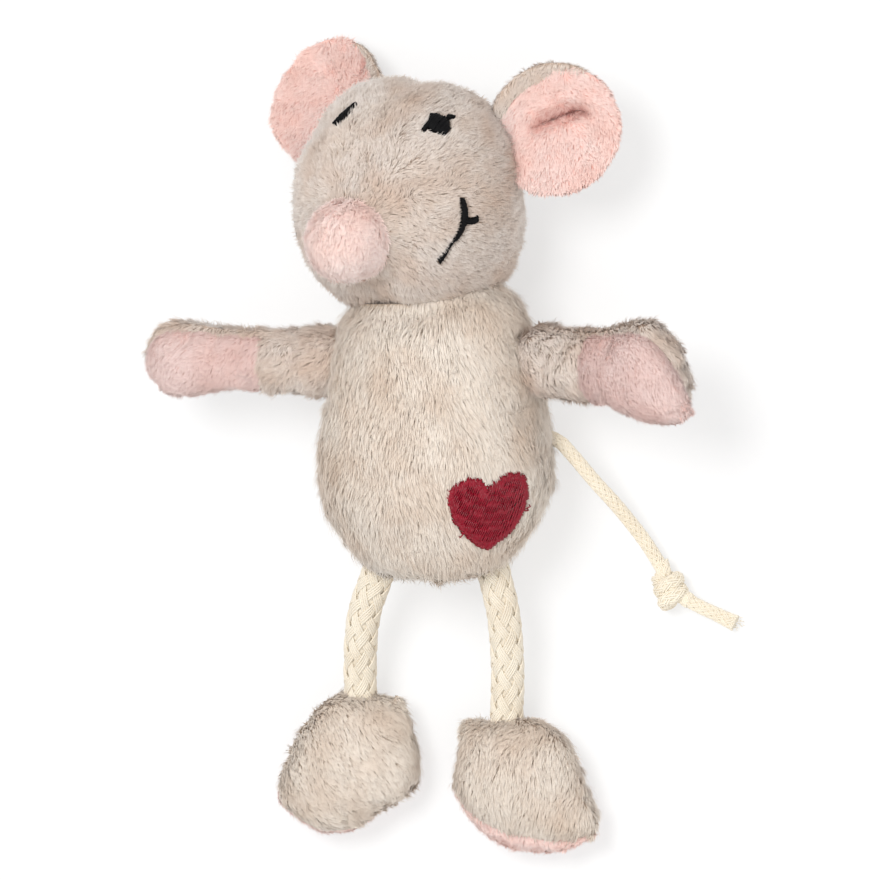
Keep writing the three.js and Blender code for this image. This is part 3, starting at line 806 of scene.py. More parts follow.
# %% [markdown]
# ## Plush pile
#
# Pile is thousands of fine fibres knitted into the backing, and handling gathers them into small locks
# that lie one way. Hair particles would be the quick way, but they can't be measured or printed, so each
# lock of fibres is a thin bent blade here. A blade leaves the backing steeply and lies over along the
# nap. Neighbours lean together, and a slow ripple turns the nap a little from place to place, which
# gives the partings that the real plush shows.
#
# Each blade keeps two numbers in a map: how light it is, and how far from its root a point lies. The
# material reads its colour from them.

# %% Grow pile on a panel
STRAND_MAP = "OFBake"
RING = np.array(((-0.5, 0.0), (0.0, 0.28), (0.5, 0.0)))  # a blade's section, across and up, by its width
SOFTNESS = 0.9  # how far a blade is lit like the whole surface rather than like a blade
ROOT_UNDER = 0.15  # how far a blade starts under the backing's surface
LENGTH_CHANGE = 0.22  # how much the pile's length changes from place to place, and how much its rise does
RISE_CHANGE = 0.3
RISE_SPREAD = 5  # degrees, from blade to blade
FUZZ_RISE = 20  # a stray fibre stands up by so much more, and is longer, thinner and lighter
FUZZ_LENGTH = 1.3
FUZZ_WIDTH = 0.7
FUZZ_LIGHT = 0.25
PLACE_LIGHT = 0.17  # how much the lightness changes from place to place, from lock to lock and so on
LOCK_LIGHT = 0.10
BLADE_LIGHT = 0.06
HALO_SHEEN = 0.4  # how much lighter the pile is beside stitches


def scatter(points, triangles, density, rng):
    """Random places on triangles, with the triangle and the corner shares of each."""
    a, b, c = points[triangles].transpose(1, 0, 2)
    areas = np.linalg.norm(np.cross(b - a, c - a), axis=1) / 2
    count = int(areas.sum() * density)
    chosen = np.searchsorted(np.cumsum(areas) / areas.sum(), rng.random(count)).clip(0, len(areas) - 1)
    u = np.sqrt(rng.random(count))
    v = rng.random(count)
    shares = np.stack([1 - u, u * (1 - v), u * v], 1)
    return chosen, shares


def gathered(roots, tips, spacing, pull, rng):
    """Tips drawn towards the lock that each blade belongs to, and the lock's number."""
    count = max(int(len(roots) * spacing), 1)
    heads = rng.choice(len(roots), count, replace=False)
    tree = KDTree(count)
    for i, head in enumerate(heads):
        tree.insert(roots[head], i)
    tree.balance()
    lock = np.array([tree.find(root)[1] for root in roots])
    return tips + (tips[heads][lock] - tips) * pull[lock][:, None], lock, count


CUT_SHARES = (0.15, 0.3, 0.45, 0.6, 0.75, 0.9)  # where along a blade it is tried against a patch


def cut_short(roots, reach, length, patches):
    """Lengths of blades that would lie over a patch of embroidery, cut at its edge."""
    length = length.copy()
    free = np.ones(len(roots), bool)
    for share in CUT_SHARES:
        meets = free & covered(roots + reach * share, patches)
        length[meets] *= share
        free &= ~meets
    return length


MOST_STRANDS = 32000  # in one mesh, so that its file stays small
MAP_WIDTH = 0.012  # half the width of a blade in the strand map


def strand_mesh(name, blade, lit, lightness):
    """Bent blades of seven points each, with the normals that they are lit by."""
    count, per_blade = blade.shape[:2]
    quads = np.array(((0, 1, 4, 3), (1, 2, 5, 4)))
    ends = np.array(((3, 4, 6), (4, 5, 6)))
    start = (np.arange(count) * per_blade)[:, None, None]
    corners = np.concatenate([(quads + start).reshape(count, -1), (ends + start).reshape(count, -1)], 1)
    sizes = np.tile((4, 4, 3, 3), count)
    mesh = bpy.data.meshes.new(name)
    mesh.vertices.add(count * per_blade)
    mesh.vertices.foreach_set("co", blade.astype(np.float32).ravel())
    mesh.loops.add(corners.size)
    mesh.loops.foreach_set("vertex_index", corners.astype(np.int32).ravel())
    mesh.polygons.add(len(sizes))
    mesh.polygons.foreach_set("loop_start", np.concatenate([[0], np.cumsum(sizes)[:-1]]).astype(np.int32))
    slim = MAP_WIDTH
    corner_u = np.array([-slim, 0, 0, -slim, 0, slim, slim, 0, -slim, 0, 0, 0, slim, 0])
    corner_v = np.array([0, 0, 0.5, 0.5, 0, 0, 0.5, 0.5, 0.5, 0.5, 1, 0.5, 0.5, 1]) * 0.96 + 0.02
    uv = np.stack([lightness[:, None] + corner_u, np.broadcast_to(corner_v, (count, 14))], 2)
    layer = mesh.uv_layers.new(name=STRAND_MAP)
    layer.data.foreach_set("uv", uv.astype(np.float32).ravel())
    mesh.update(calc_edges=True)
    mesh.validate()
    mesh.normals_split_custom_set_from_vertices(lit.reshape(-1, 3).tolist())
    return mesh


def grow_pile(name, panel, nap, style, seed, patches=()):
    """Meshes of bent blades on a panel. nap gives the way that the pile lies at each root."""
    points, triangles = panel
    rng = np.random.default_rng(seed)
    surface = normals_of(points, triangles)
    chosen, shares = scatter(points, triangles, style["density"], rng)
    roots = np.einsum("nk,nkd->nd", shares, points[triangles[chosen]])
    up = unit(np.einsum("nk,nkd->nd", shares, surface[triangles[chosen]]))
    stays = ~covered(roots, patches)
    roots = roots[stays]
    up = up[stays]
    count = len(roots)

    way = nap(roots) + style["stray"] * ripple(roots, style["patch"], seed + 1, 3)
    way += style["loose"] * rng.normal(size=(count, 3))
    way = unit(way - up * (way * up).sum(1)[:, None])
    length = style["length"] * (1 + LENGTH_CHANGE * ripple(roots, style["patch"] * 0.6, seed + 2))
    fuzz = rng.random(count) < style["fuzz"]
    length *= rng.uniform(0.75, 1.2, count) * np.where(fuzz, FUZZ_LENGTH, 1)
    rise = style["rise"] * (1 + RISE_CHANGE * ripple(roots, style["patch"] * 0.8, seed + 3))
    if "stand" in style:
        rise += style["stand"](roots)
    rise = rise + rng.normal(0, RISE_SPREAD, count) + np.where(fuzz, FUZZ_RISE, 0)
    rise = np.radians(np.clip(rise, 5, 80))
    lean = np.cos(rise)[:, None] * way + np.sin(rise)[:, None] * up
    if patches:
        length = cut_short(roots, lean * length[:, None], length, patches)
    tips = roots + length[:, None] * lean
    pull_of = rng.uniform(*style["pull"], count)
    tips, lock, locks = gathered(roots, tips, style["locks"], pull_of, rng)

    reach = tips - roots
    hump = length * (0.10 + 0.10 * np.sin(rise))
    bend = roots + 0.5 * reach + hump[:, None] * up
    across = unit(np.cross(reach, up))
    width = style["width"] * rng.uniform(0.7, 1.25, count) * np.where(fuzz, FUZZ_WIDTH, 1)
    rings = []
    lit = []
    for at, size in ((roots - ROOT_UNDER * up, 1.0), (bend, 0.85)):
        for side, high in RING:
            rings.append(at + (side * size * width)[:, None] * across + (high * size * width)[:, None] * up)
            lit.append(up * SOFTNESS + (1 - SOFTNESS) * unit(up + 1.6 * side * across))
    rings.append(tips)
    lit.append(unit(up + 0.25 * unit(reach)))
    blade = np.stack(rings, 1)
    blade[:, :, 2] = np.maximum(blade[:, :, 2], FLOOR_CLEAR * 0.5)

    lightness = PLACE_LIGHT * ripple(roots, style["patch"] * 1.6, seed + 4)
    lightness += LOCK_LIGHT * rng.normal(size=locks)[lock] + BLADE_LIGHT * rng.normal(size=count)
    lightness = style["change"] * lightness + np.where(fuzz, FUZZ_LIGHT, 0)
    # Painted sheen: strands near the edge of a patch are made lighter.
    lightness += HALO_SHEEN * beside(roots, patches)
    lightness = np.clip(0.5 + lightness, 0.03, 0.97)
    # Painted shade: strands deep in a fold get a lightness below nought, which the material mixes towards
    # the darker fold colour.
    if "deep" in style:
        deep = style["deep"](roots)
        lightness = np.where(deep > 0.1, -deep, lightness)
    lit = unit(np.stack(lit, 1))
    bands = np.array_split(np.argsort(roots[:, 1]), math.ceil(count / MOST_STRANDS))
    return [strand_mesh(name, blade[band], lit[band], lightness[band]) for band in bands]


# %% The strand colour group, shared by every plush
def build_strand_group():
    group, given, made = new_group(
        "strand_colour",
        [
            ("Root Tone And Shade", "NodeSocketColor", colour(150, 130, 112)),
            ("Dark Tip", "NodeSocketColor", colour(200, 186, 172)),
            ("Light Tip", "NodeSocketColor", colour(232, 222, 210)),
            ("Warm Tip", "NodeSocketColor", colour(214, 190, 168)),
            ("Painted Fold Shade", "NodeSocketColor", colour(150, 130, 112)),
            ("Lightness", "NodeSocketFloat", 0.5),
            ("Warmth", "NodeSocketFloat", 0.0),
            ("From Root", "NodeSocketFloat", 0.5),
        ],
        [("Colour", "NodeSocketColor")],
    )
    tip = mix_node(group, given.outputs["Lightness"], given.outputs["Dark Tip"], given.outputs["Light Tip"])
    tip = mix_node(group, given.outputs["Warmth"], tip, given.outputs["Warm Tip"])
    # Towards its root a strand takes the root colour: partly the tan of the fibre's base, partly painted
    # shade deep in the pile.
    along = math_node(group, "POWER", given.outputs["From Root"], 0.65)
    whole = mix_node(group, along, given.outputs["Root Tone And Shade"], tip)
    # A lightness below nought marks a strand inside a fold; it is mixed towards the fold colour, as painted
    # shade for the deeper light there.
    painted_fold_shade = math_node(group, "MULTIPLY", given.outputs["Lightness"], -1.0)
    whole = mix_node(group, painted_fold_shade, whole, given.outputs["Painted Fold Shade"])
    group.links.new(whole, made.inputs["Colour"])
    return group


STRAND_COLOUR = build_strand_group()
WARM_PATCH = 13  # how far apart warmer places in the plush lie
WARM_FROM = 0.42  # the noise at which warmth sets in, and at which it is full
WARM_TO = 0.72


def plush_material(name, root, dark_tip, light_tip, warm_tip, fold=None):
    """The look of pile, from the strand map that its blades carry."""
    material, tree, shader = new_material(name)
    mottle = add_noise(tree, own_place(tree), WARM_PATCH, 3)
    warmth = add_node(tree, "MapRange", {"Value": mottle, "From Min": WARM_FROM, "From Max": WARM_TO})
    strand_map = add_node(tree, "UVMap")
    strand_map.uv_map = STRAND_MAP
    parts = add_node(tree, "SeparateXYZ", {0: strand_map.outputs["UV"]})
    strand = add_node(tree, "Group")
    strand.node_tree = STRAND_COLOUR
    set_inputs(tree, strand, {
        "Root Tone And Shade": root, "Dark Tip": dark_tip, "Light Tip": light_tip, "Warm Tip": warm_tip,
        # The fold colour is painted shade for strands deep in a fold.
        "Painted Fold Shade": fold or root, "Warmth": warmth.outputs["Result"],
        "Lightness": parts.outputs["X"], "From Root": parts.outputs["Y"],
    })
    set_inputs(tree, shader, {
        "Base Color": strand.outputs["Colour"], "Roughness": 0.75, "Specular IOR Level": 0.25,
        "Sheen Weight": 0.35, "Sheen Roughness": 0.45,
    })
    return material


# %% Knitted backing, seen only where the pile parts
KNIT_PITCH = 0.9


def wave_scale(pitch):
    """The scale at which a wave texture's bands lie the given millimetres apart."""
    return 1 / (pitch * MM) / 6.28


def backing_material(name, tone, deep):
    material, tree, shader = new_material(name)
    inputs = {"Vector": own_place(tree), "Scale": wave_scale(KNIT_PITCH), "Distortion": 1.5}
    courses = add_node(tree, "TexWave", inputs).outputs["Fac"]
    # Painted shade: the darker colour lies in the knit's valleys, where the relief is low.
    set_inputs(tree, shader, {"Base Color": mix_node(tree, courses, deep, tone), "Roughness": 0.9})
    add_relief(tree, shader, courses, 0.2, 0.5)
    return material


def plush_looks(pile, backing):
    """The materials of a pile and its backing, each given as a name and its colours."""
    looks = []
    for make, (name, *colours) in ((plush_material, pile), (backing_material, backing)):
        looks.append(make(name, *[colour(*shown) for shown in colours]))
    return looks


# The first colour of each plush is its root: partly the tone of the fibre's base, partly painted shade deep
# in the pile.
GREY = plush_looks(
    ("grey_beige_plush", (207, 187, 171), (232, 218, 205), (253, 245, 238), (226, 201, 182)),
    ("grey_backing", (198, 176, 159), (176, 154, 138)),
)
CREAM = plush_looks(
    ("cream_plush", (222, 206, 189), (234, 221, 207), (251, 244, 234), (228, 209, 191)),
    ("cream_backing", (218, 200, 181), (196, 177, 157)),
)
BEIGE = plush_looks(
    ("foot_plush", (222, 205, 188), (235, 223, 208), (250, 242, 232), (228, 209, 191)),
    ("foot_backing", (208, 188, 170), (184, 164, 146)),
)
# The fifth pink colour is painted shade: the deeper pink inside the ear's pleat.
PINK = plush_looks(
    ("pink_plush", (250, 204, 193), (255, 224, 215), (255, 243, 237), (255, 216, 203), (204, 122, 110)),
    ("pink_backing", (250, 205, 193), (240, 188, 175)),
)
PALE_PINK = plush_looks(
    ("pale_pink_plush", (255, 219, 209), (255, 231, 223), (255, 247, 242), (255, 229, 219)),
    ("pale_pink_backing", (250, 216, 208), (238, 200, 191)),
)
# The palms' pink is a darker, greyer copy of the nose's pale pink: painted shade for palms turned away from
# the light.
SHADED_PALM_PINK = plush_looks(
    ("palm_pink_plush", (232, 199, 191), (238, 211, 204), (250, 232, 227), (238, 205, 196)),
    ("palm_pink_backing", (236, 202, 193), (222, 184, 175)),
)

# %% Pile styles: millimetres, degrees and blades for each square millimetre
BODY_PILE = {
    "density": 13, "length": 3.4, "width": 0.24, "rise": 12, "stray": 0.32, "loose": 0.09,
    "patch": 15, "locks": 0.05, "pull": (0.1, 0.5), "change": 0.8, "fuzz": 0.08,
}
FOOT_PILE = {
    **BODY_PILE, "density": 14, "length": 2.7, "width": 0.22, "stray": 0.38, "loose": 0.10, "patch": 11,
}
HEAD_PILE = {
    "density": 16, "length": 2.1, "width": 0.19, "rise": 18, "stray": 0.5, "loose": 0.2,
    "patch": 9, "locks": 0.08, "pull": (0.1, 0.5), "change": 1.5, "fuzz": 0.14,
}
ARM_PILE = {
    **HEAD_PILE, "density": 15, "length": 2.4, "width": 0.21, "rise": 16, "stray": 0.6, "loose": 0.15,
    "patch": 8, "locks": 0.07, "change": 1.0,
}
SHORT_PILE = {
    "density": 20, "length": 1.5, "width": 0.18, "rise": 17, "stray": 0.4, "loose": 0.15,
    "patch": 8, "locks": 0.09, "pull": (0.05, 0.3), "change": 0.6, "fuzz": 0.1,
}

# %% [markdown]
# ## Dressing a panel
#
# Every panel is made in the same two layers, so one function does it: the backing, which stands for the
# panel's solid in the model, and the pile on it. Both ride on the body that the panel belongs to.


# %% Dress a panel
def dress(node, body, panel, nap, style, looks, seed, patches=(), hold=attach):
    """Backing and pile of one panel. panel is its points and triangles in the toy's frame."""
    pile_look, backing_look = looks
    points, triangles = panel
    panel = (above_floor(points), triangles)
    backing = finished_piece(f"{node}_backing", backing_mesh(node, *panel), backing_look, node)
    hold(backing, body)
    meshes = grow_pile(node, panel, nap, style, seed, patches)
    for number, mesh in enumerate(meshes, 1):
        band = f"_{number}" if len(meshes) > 1 else ""
        hold(finished_piece(f"{node}_pile{band}", mesh, pile_look), body)
    print(node, sum(len(mesh.polygons) for mesh in meshes), "blade faces")


# %% [markdown]
# ## Fibre filling
#
# Inside each stuffed piece is a wad of polyester fibre. It doesn't show while the seams hold, so it is
# a lumpy closed form that fills the backing.

# %% Filling
FILL_UNDER = 2.6  # how far the filling lies under the form's surface
FILL_LUMP = 0.25
FILL_LUMP_SIZE = 5


def filling_material():
    material, tree, shader = new_material("fibre_filling")
    fibres = add_noise(tree, own_place(tree), 2.5)
    white = mix_node(tree, fibres, colour(225, 222, 216), colour(250, 249, 246))
    set_inputs(tree, shader, {"Base Color": white, "Roughness": 0.9})
    return material


FILLING = filling_material()


def under_skin(points, normals, seed):
    """Points of a form moved in to where its filling ends, with lumps."""
    return points - normals * (FILL_UNDER + FILL_LUMP * ripple(points, FILL_LUMP_SIZE, seed))[:, None]


def add_filling(node, body, spec, place, seed, inside=None):
    """A lumpy form inside a stuffed piece. inside may press it back where the panel is pressed."""
    points, faces = swelling_form(spec, 40, 40)
    normals = normals_of(points, faces)
    points = under_skin(placed(points, place), turned(normals, place), seed)
    if inside is not None:
        points = inside(points)
    mesh = mesh_of(node, above_floor(points), faces)
    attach(finished_piece(f"{node}_wad", mesh, FILLING, node), body)


# %% [markdown]
# ## Stitches
#
# A filled area is laid in rows of stitches, with the needle holes of one row beside the middle of the
# next. A line or an edge is satin stitch: threads side by side straight across it. Each stitch rises from
# one hole and dives into the next, so each is a thin bowed tube that follows the form under it.


# %% Lay stitches
THREAD = 0.32
THREAD_STEP = THREAD * 0.74  # threads side by side overlap a little
THREAD_SWELL = np.array((0.7, 1, 1.1, 1.15, 1.1, 1, 0.7))  # its thickness at each share of a stitch
STITCH_DIVE = -1.0  # how far under the form's surface a stitch goes in
STITCH_SHARES = (0, 0.07, 0.25, 0.5, 0.75, 0.93, 1)


def rows_of_stitches(outline, angle, longest, ragged, rng):
    """Rows of stitches that fill an outline, each as its two flat ends."""
    turn = math.radians(angle)
    along = np.array((math.cos(turn), math.sin(turn)))
    aside = np.array((-along[1], along[0]))
    across, up = outline @ along, outline @ aside
    next_across, next_up = np.roll(across, -1), np.roll(up, -1)
    stitches = []
    for number, row in enumerate(np.arange(up.min() + THREAD / 2, up.max(), THREAD_STEP)):
        cut = (up > row) != (next_up > row)
        slope = (next_across - across)[cut] / (next_up - up)[cut]
        ends = np.sort(across[cut] + (row - up[cut]) * slope)
        for low, high in zip(ends[::2], ends[1::2]):
            low -= ragged * rng.random()
            high += ragged * rng.random()
            holes = np.arange(low + longest * (0.3 + number * 0.37 % 0.8), high - longest * 0.3, longest)
            stops = [low, *(holes + rng.normal(0, 0.15, len(holes))), high]
            ends_of = [stop * along + row * aside for stop in stops]
            stitches += zip(ends_of, ends_of[1:])
    return stitches


def stitches_across(path, widths, ragged, lean, rng, inset=0.0):
    """Satin stitches side by side across a path, each as its two flat ends."""
    path = np.asarray(path, float)
    length = lengths_along(path)
    at = np.arange(THREAD / 2, length[-1], THREAD_STEP)
    middle = read_along(at, length, path)
    ahead = unit(np.gradient(middle, axis=0))
    aside = np.stack([-ahead[:, 1], ahead[:, 0]], 1)
    middle = middle + aside * inset
    half = np.interp(at / length[-1], np.linspace(0, 1, len(widths)), widths) / 2
    across = unit(aside + lean * ahead)
    low = middle - across * (half + ragged * rng.uniform(-0.4, 1, len(at)))[:, None]
    high = middle + across * (half + ragged * rng.uniform(-0.4, 1, len(at)))[:, None]
    return list(zip(low, high))


def lay_stitches(stitches, patch, skin, rise, rng):
    """Threads on a form, as points and faces in the toy's frame."""
    matrix = patch["matrix"]
    inwards = -matrix.to_3x3().col[2]
    shares = np.array(STITCH_SHARES)
    bow = np.minimum(1, 1.9 * np.sin(np.pi * shares)) ** 0.7
    parts = []
    for first, last in stitches:
        flat = first + (last - first) * shares[:, None]
        top = STITCH_DIVE + (rise + rng.normal(0, 0.05) - STITCH_DIVE) * bow
        points = []
        for (u, v), lift in zip(flat, top):
            place, normal, _, _ = skin.ray_cast(matrix @ Vector((u, v, PATCH_REACH)), inwards)
            if place is not None:
                points.append(place + normal * lift)
        if len(points) == len(shares):
            radii = THREAD / 2 * rng.uniform(0.85, 1.15) * THREAD_SWELL
            parts.append(tube(np.array(points), radii, 6))
    return gathered_parts(parts)


def skin_of(points, faces):
    return BVHTree.FromPolygons(np.asarray(points).tolist(), [list(map(int, f)) for f in faces])


# %% Thread
THREAD_CHANGE = 1.4  # how far apart lighter and darker places lie
ROUGHNESS_CHANGE = 0.14


def thread_material(name, tone, light, roughness, gloss):
    """Glossy thread, a little lighter and darker from stitch to stitch."""
    material, tree, shader = new_material(name)
    change = add_noise(tree, own_place(tree), THREAD_CHANGE, 4)
    worn = add_node(tree, "MapRange", {
        "Value": change, "To Min": roughness - ROUGHNESS_CHANGE, "To Max": roughness + ROUGHNESS_CHANGE,
    })
    set_inputs(tree, shader, {
        "Base Color": mix_node(tree, change, tone, light), "Roughness": worn.outputs["Result"],
        "Specular IOR Level": gloss,
    })
    add_relief(tree, shader, change, 0.05, 0.5)
    return material


BLACK_THREAD = thread_material("black_thread", colour(4, 4, 5), colour(15, 14, 16), 0.6, 0.15)
RED_THREAD = thread_material("crimson_thread", colour(104, 0, 16), colour(162, 0, 40), 0.32, 0.4)


def embroider(node, body, parts, look):
    """The piece that a node's stitches make."""
    mesh = mesh_of(node, *gathered_parts(parts))
    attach(finished_piece(f"{node}_stitches", mesh, look, node), body)


# %% [markdown]
# ## Head
#
# Two side panels meet in a seam from the brow over the crown, and a pink cap is sewn over the end of
# the snout. The pile is brushed from the nose back over the head.

# %% Head measures
HEAD_CENTRE = np.array((-6.2, 160.9, 27.2))
HEAD_BALL = 27.3
NOSE_SEAM = 24.8
SNOUT_DROP = 1.5
HEAD_OUTLINE = (
    (-HEAD_BALL, 0), (-25.6, 9.9), (-20, 19.2), (-10, 25.8), (0, HEAD_BALL), (8, 26.7), (15, 23.5),
    (20, 18.2), (24.6, 12), (29, 11), (34, 9.2), (38, 5.2), (39.5, 0),
)


def towards_nose(along):
    return min(max(along / NOSE_SEAM, 0), 1)


HEAD = {
    "outline": HEAD_OUTLINE,
    "square": lambda along: 2.6 - 0.6 * towards_nose(along),
    "depth": lambda along: 1.06 - 0.06 * towards_nose(along),
    "middle": lambda along: (0, SNOUT_DROP * towards_nose(along)),
}
head_turn = Matrix.Rotation(math.radians(-17), 4, "Y")
head_nod = Matrix.Rotation(math.radians(20), 4, "X")
head_tilt = Matrix.Rotation(math.radians(-7), 4, "Z")
HEAD_FRAME = Matrix.Translation(HEAD_CENTRE) @ head_turn @ head_nod @ head_tilt
FORM_UPRIGHT = Matrix.Rotation(math.pi / 2, 4, "X")  # the form's +Y becomes the way to the nose


# %% Eyes and smiles
FACE_STITCH_RISE = 0.1
SMILE = (
    (
        ((1.6, 8.4), (1.6, 6.5), (1.4, 4.6), (0.9, 2.4), (-0.2, 0.6), (-1.3, -0.7), (-2.5, -1.7)),
        (0.9, 1.8, 1.9, 1.7, 1.4, 1.2, 0.3),
    ),
    (((-2.5, -1.7), (-3.4, -2.5), (-4.9, -4.7), (-6.4, -6.6)), (0.2, 0.2, 0.8, 1.3)),
    (((1.3, 2.8), (3, 2), (4.8, 2.2)), (1.4, 1.3, 1.9)),
)


def mirrored(points):
    return [(-p[0], *p[1:]) for p in points]


FACE_STITCHES = {
    "eye_left": {
        "place": (15.1, 21.1, 7),
        "block": (
            (-2.9, -1), (-2.5, 2.4), (-0.9, 3.3), (2, 2.3), (2.9, -0.9), (1.8, -2.9), (0, -2.6), (-2.2, -2),
        ),
        "slant": 62,
        "strokes": (
            (((1.5, 2.6), (2.7, 2.9), (3.7, 3)), (0.9, 0.7, 0.4)),
            (((-2.7, -0.1), (-3.3, -1.3), (-3.8, -2.4)), (0.9, 0.9, 0.7)),
        ),
    },
    "eye_right": {
        "place": (-9.6, 23.3, 9.9),
        "block": (
            (1, 2.8), (2.2, 2.6), (2.4, 0.6), (1.5, -1.3), (-0.2, -3), (-1, -2.9), (-0.6, -1.2), (0.2, 0.8),
        ),
        "slant": -62,
        "strokes": ((((1.6, 2.3), (2.1, 3.2), (2.4, 3.9)), (0.8, 0.6, 0.4)),),
    },
    "smile_left": {"place": (22.9, -1.4, 13), "strokes": SMILE},
    "smile_right": {
        "place": (-24.9, -1.4, 9.2),
        "strokes": [(mirrored(points), widths) for points, widths in SMILE],
    },
}


def face_patch(stitches):
    outlines = [stroke_outline(points, widths) for points, widths in stitches["strokes"]]
    if "block" in stitches:
        outlines.append(np.array(stitches["block"], float))
    return patch_at(stitches["place"], stitches["place"], 0, outlines, HEAD_FRAME)


FACE = {node: face_patch(stitches) for node, stitches in FACE_STITCHES.items()}


def stitch_face(skin):
    rng = np.random.default_rng(15)
    for node, shape in FACE_STITCHES.items():
        stitches = []
        if "block" in shape:
            stitches += rows_of_stitches(np.array(shape["block"]), shape["slant"], 9, 0.3, rng)
        for points, widths in shape["strokes"]:
            line = spline(points, np.linspace(0, 1, 30))
            stitches += stitches_across(line, widths, 0.2, 0.4, rng)
        threads = lay_stitches(stitches, FACE[node], skin, FACE_STITCH_RISE, rng)
        embroider(node, "head", [threads], BLACK_THREAD)


# %% Head panels
NOSE_PILE = {
    **SHORT_PILE, "density": 24, "length": 1.9, "width": 0.2, "rise": 20, "stray": 0.6, "loose": 0.3,
    "patch": 5, "locks": 0.05,
}


NOSE_TIP = np.array((0, -SNOUT_DROP, 39.5))
CHEEK_STAND = 16  # degrees


def cheek_stand(roots):
    """The pile stands up more on the cheeks and under the chin, where it is pressed least."""
    local = placed(roots, HEAD_FRAME.inverted())
    low = np.clip((6 - local[:, 1]) / 16, 0, 1)
    aside = np.clip((np.abs(local[:, 0]) - 6) / 12, 0, 1)
    return CHEEK_STAND * low * aside


def head_nap(roots):
    """Back from the nose over the head, and down the cheeks."""
    local = placed(roots, HEAD_FRAME.inverted())
    way = unit(local - NOSE_TIP) + np.array((0, -0.35, 0))
    return turned(way, HEAD_FRAME)


def nose_nap(roots):
    """Down over the end of the snout."""
    return turned(np.tile((0.2, -1, 0.1), (len(roots), 1)), HEAD_FRAME)


RIGHT_TEMPLE = (-17.0, 19.5, 7.5)  # the ear has been folded over here, and the head is flatter
TEMPLE_DENT = 2.6
TEMPLE_REACH = 11.0


def temple_pressed(points):
    """Points of the head in its own frame, with the right temple pressed flat."""
    from_temple = np.linalg.norm(points - RIGHT_TEMPLE, axis=1)
    return points - unit(points) * (TEMPLE_DENT * np.exp(-((from_temple / TEMPLE_REACH) ** 2)))[:, None]


def filling_pressed(points):
    """The same for the filling, in the toy's frame."""
    return placed(temple_pressed(placed(points, HEAD_FRAME.inverted())), HEAD_FRAME)


def head_form():
    """The head's panels in its own frame, and the outside that the stitches lie on, in the toy's."""
    points, faces = swelling_form(HEAD, 96, 112)
    points = placed(points, FORM_UPRIGHT)
    from_seam = np.minimum(np.abs(points[:, 0]), np.abs(points[:, 2] - NOSE_SEAM))
    points = stuffed(points, faces, from_seam, 10)
    points = temple_pressed(points)
    skin = skin_of(placed(points, HEAD_FRAME), faces)
    normals = normals_of(points, faces)
    points = points - normals * SKIN_UNDER
    points = pressed_in(points, normals, points[:, 0], 0.7, 1.1)
    points = pressed_in(points, normals, points[:, 2] - NOSE_SEAM, 0.35, 1.2)
    return points, faces, skin


def build_head():
    points, faces, skin = head_form()
    patches = list(FACE.values())
    pile = {**HEAD_PILE, "stand": cheek_stand}
    skull = ((0, 0, NOSE_SEAM), (0, 0, -1))
    for hand, side, seed in (("left", 1, 11), ("right", -1, 12)):
        cut, triangles = cut_panel(points, faces, [skull, ((0, 0, 0), (side, 0, 0))])
        panel = (placed(cut, HEAD_FRAME), triangles)
        dress(f"head_panel_{hand}", "head", panel, head_nap, pile, GREY, seed, patches)
    cut, triangles = cut_panel(points, faces, [((0, 0, NOSE_SEAM), (0, 0, 1))])
    panel = (placed(cut, HEAD_FRAME), triangles)
    dress("nose_cap", "head", panel, nose_nap, NOSE_PILE, PALE_PINK, 13)
    add_filling("head_filling", "head", HEAD, HEAD_FRAME @ FORM_UPRIGHT, 14, inside=filling_pressed)
    stitch_face(skin)


build_head()

# %% [markdown]
# ## Ears
#
# An ear is two layers sewn together at the rim, hardly stuffed, and caught at its root in the head's
# seam. The pink lining is smaller than the back and set off its middle, so the beige back rolls over the
# rim on one side. The left ear has been squashed in its packet and keeps a deep pleat. Both layers come
# from one shallow cup, which the pleat presses in.

# %% Ear measures
EAR_REACH = (0.81, 0.375, -0.45)
EAR_FACE = (0.3, 0.34, 0.85)
EAR_FOLD_LINE = 30.9
EAR_MIDDLE = 10.1
EAR_RADIUS = 15.8
EAR_CUP = 40.0
EAR_HALF = 1.2  # half of its thickness in the middle
EAR_ROOT = -8.0  # how far it reaches into the head
EARS = {
    "left": {
        "side": 1,
        "root_more": 1.0,  # how much longer it is at its root than at its rim
        "band": ((0, 110, 135, 159, 174, 190, 225, 260, 360), (-1, -1, 0.6, 2.4, 3.2, 3.4, 3.0, 0.5, -1)),
        "pleat": ((-2.8, 4.7), (-2.7, 9), (-1.9, 15.8), (0.6, 19.5)),
        "pleat_depth": (0.8, 2.4, 2.2, 0.2),
    },
    "right": {
        "side": -1,
        "root_more": 5.5,
        "band": ((0, 20, 60, 280, 310, 325, 340, 360), (1.0, 0, -1, -1, 2.6, 2.6, 1.8, 1.0)),
        "pleat": ((13.2, 9.6), (11.2, 9.2), (9, 9.4)),
        "pleat_depth": (1.2, 0.8, 0.1),
    },
}
EAR_PILE = {**ARM_PILE, "length": 1.4, "rise": 14, "density": 17, "width": 0.19}
# In a pleat this deep the strands take the full painted shade of the fold colour.
PLEAT_DEEP = 2.0  # a pleat this deep keeps its strands at their deepest tone


def ear_frame(side):
    """+X is the fold line, +Y the way that the ear reaches, and +Z its face."""
    outward = Vector((EAR_REACH[0] * side, *EAR_REACH[1:])).normalized()
    face = Vector(EAR_FACE)
    front = (face - outward * face.dot(outward)).normalized()
    stand = Matrix((outward.cross(front), outward, front)).transposed().to_4x4()
    return HEAD_FRAME @ Matrix.Translation(outward * EAR_FOLD_LINE) @ stand


# %% Ear layers
def from_path(flat, path, values):
    """The distance of flat points from a path, and the path's value at the nearest place."""
    share = np.linspace(0, 1, 60)
    line = spline(path, share)
    apart = np.linalg.norm(flat[:, None] - line, axis=2)
    nearest = apart.argmin(1)
    return apart.min(1), np.interp(share, np.linspace(0, 1, len(values)), values)[nearest]


def hill(apart, width):
    """1 in the middle, and falling off smoothly over a width."""
    return np.exp(-((apart / width) ** 2))


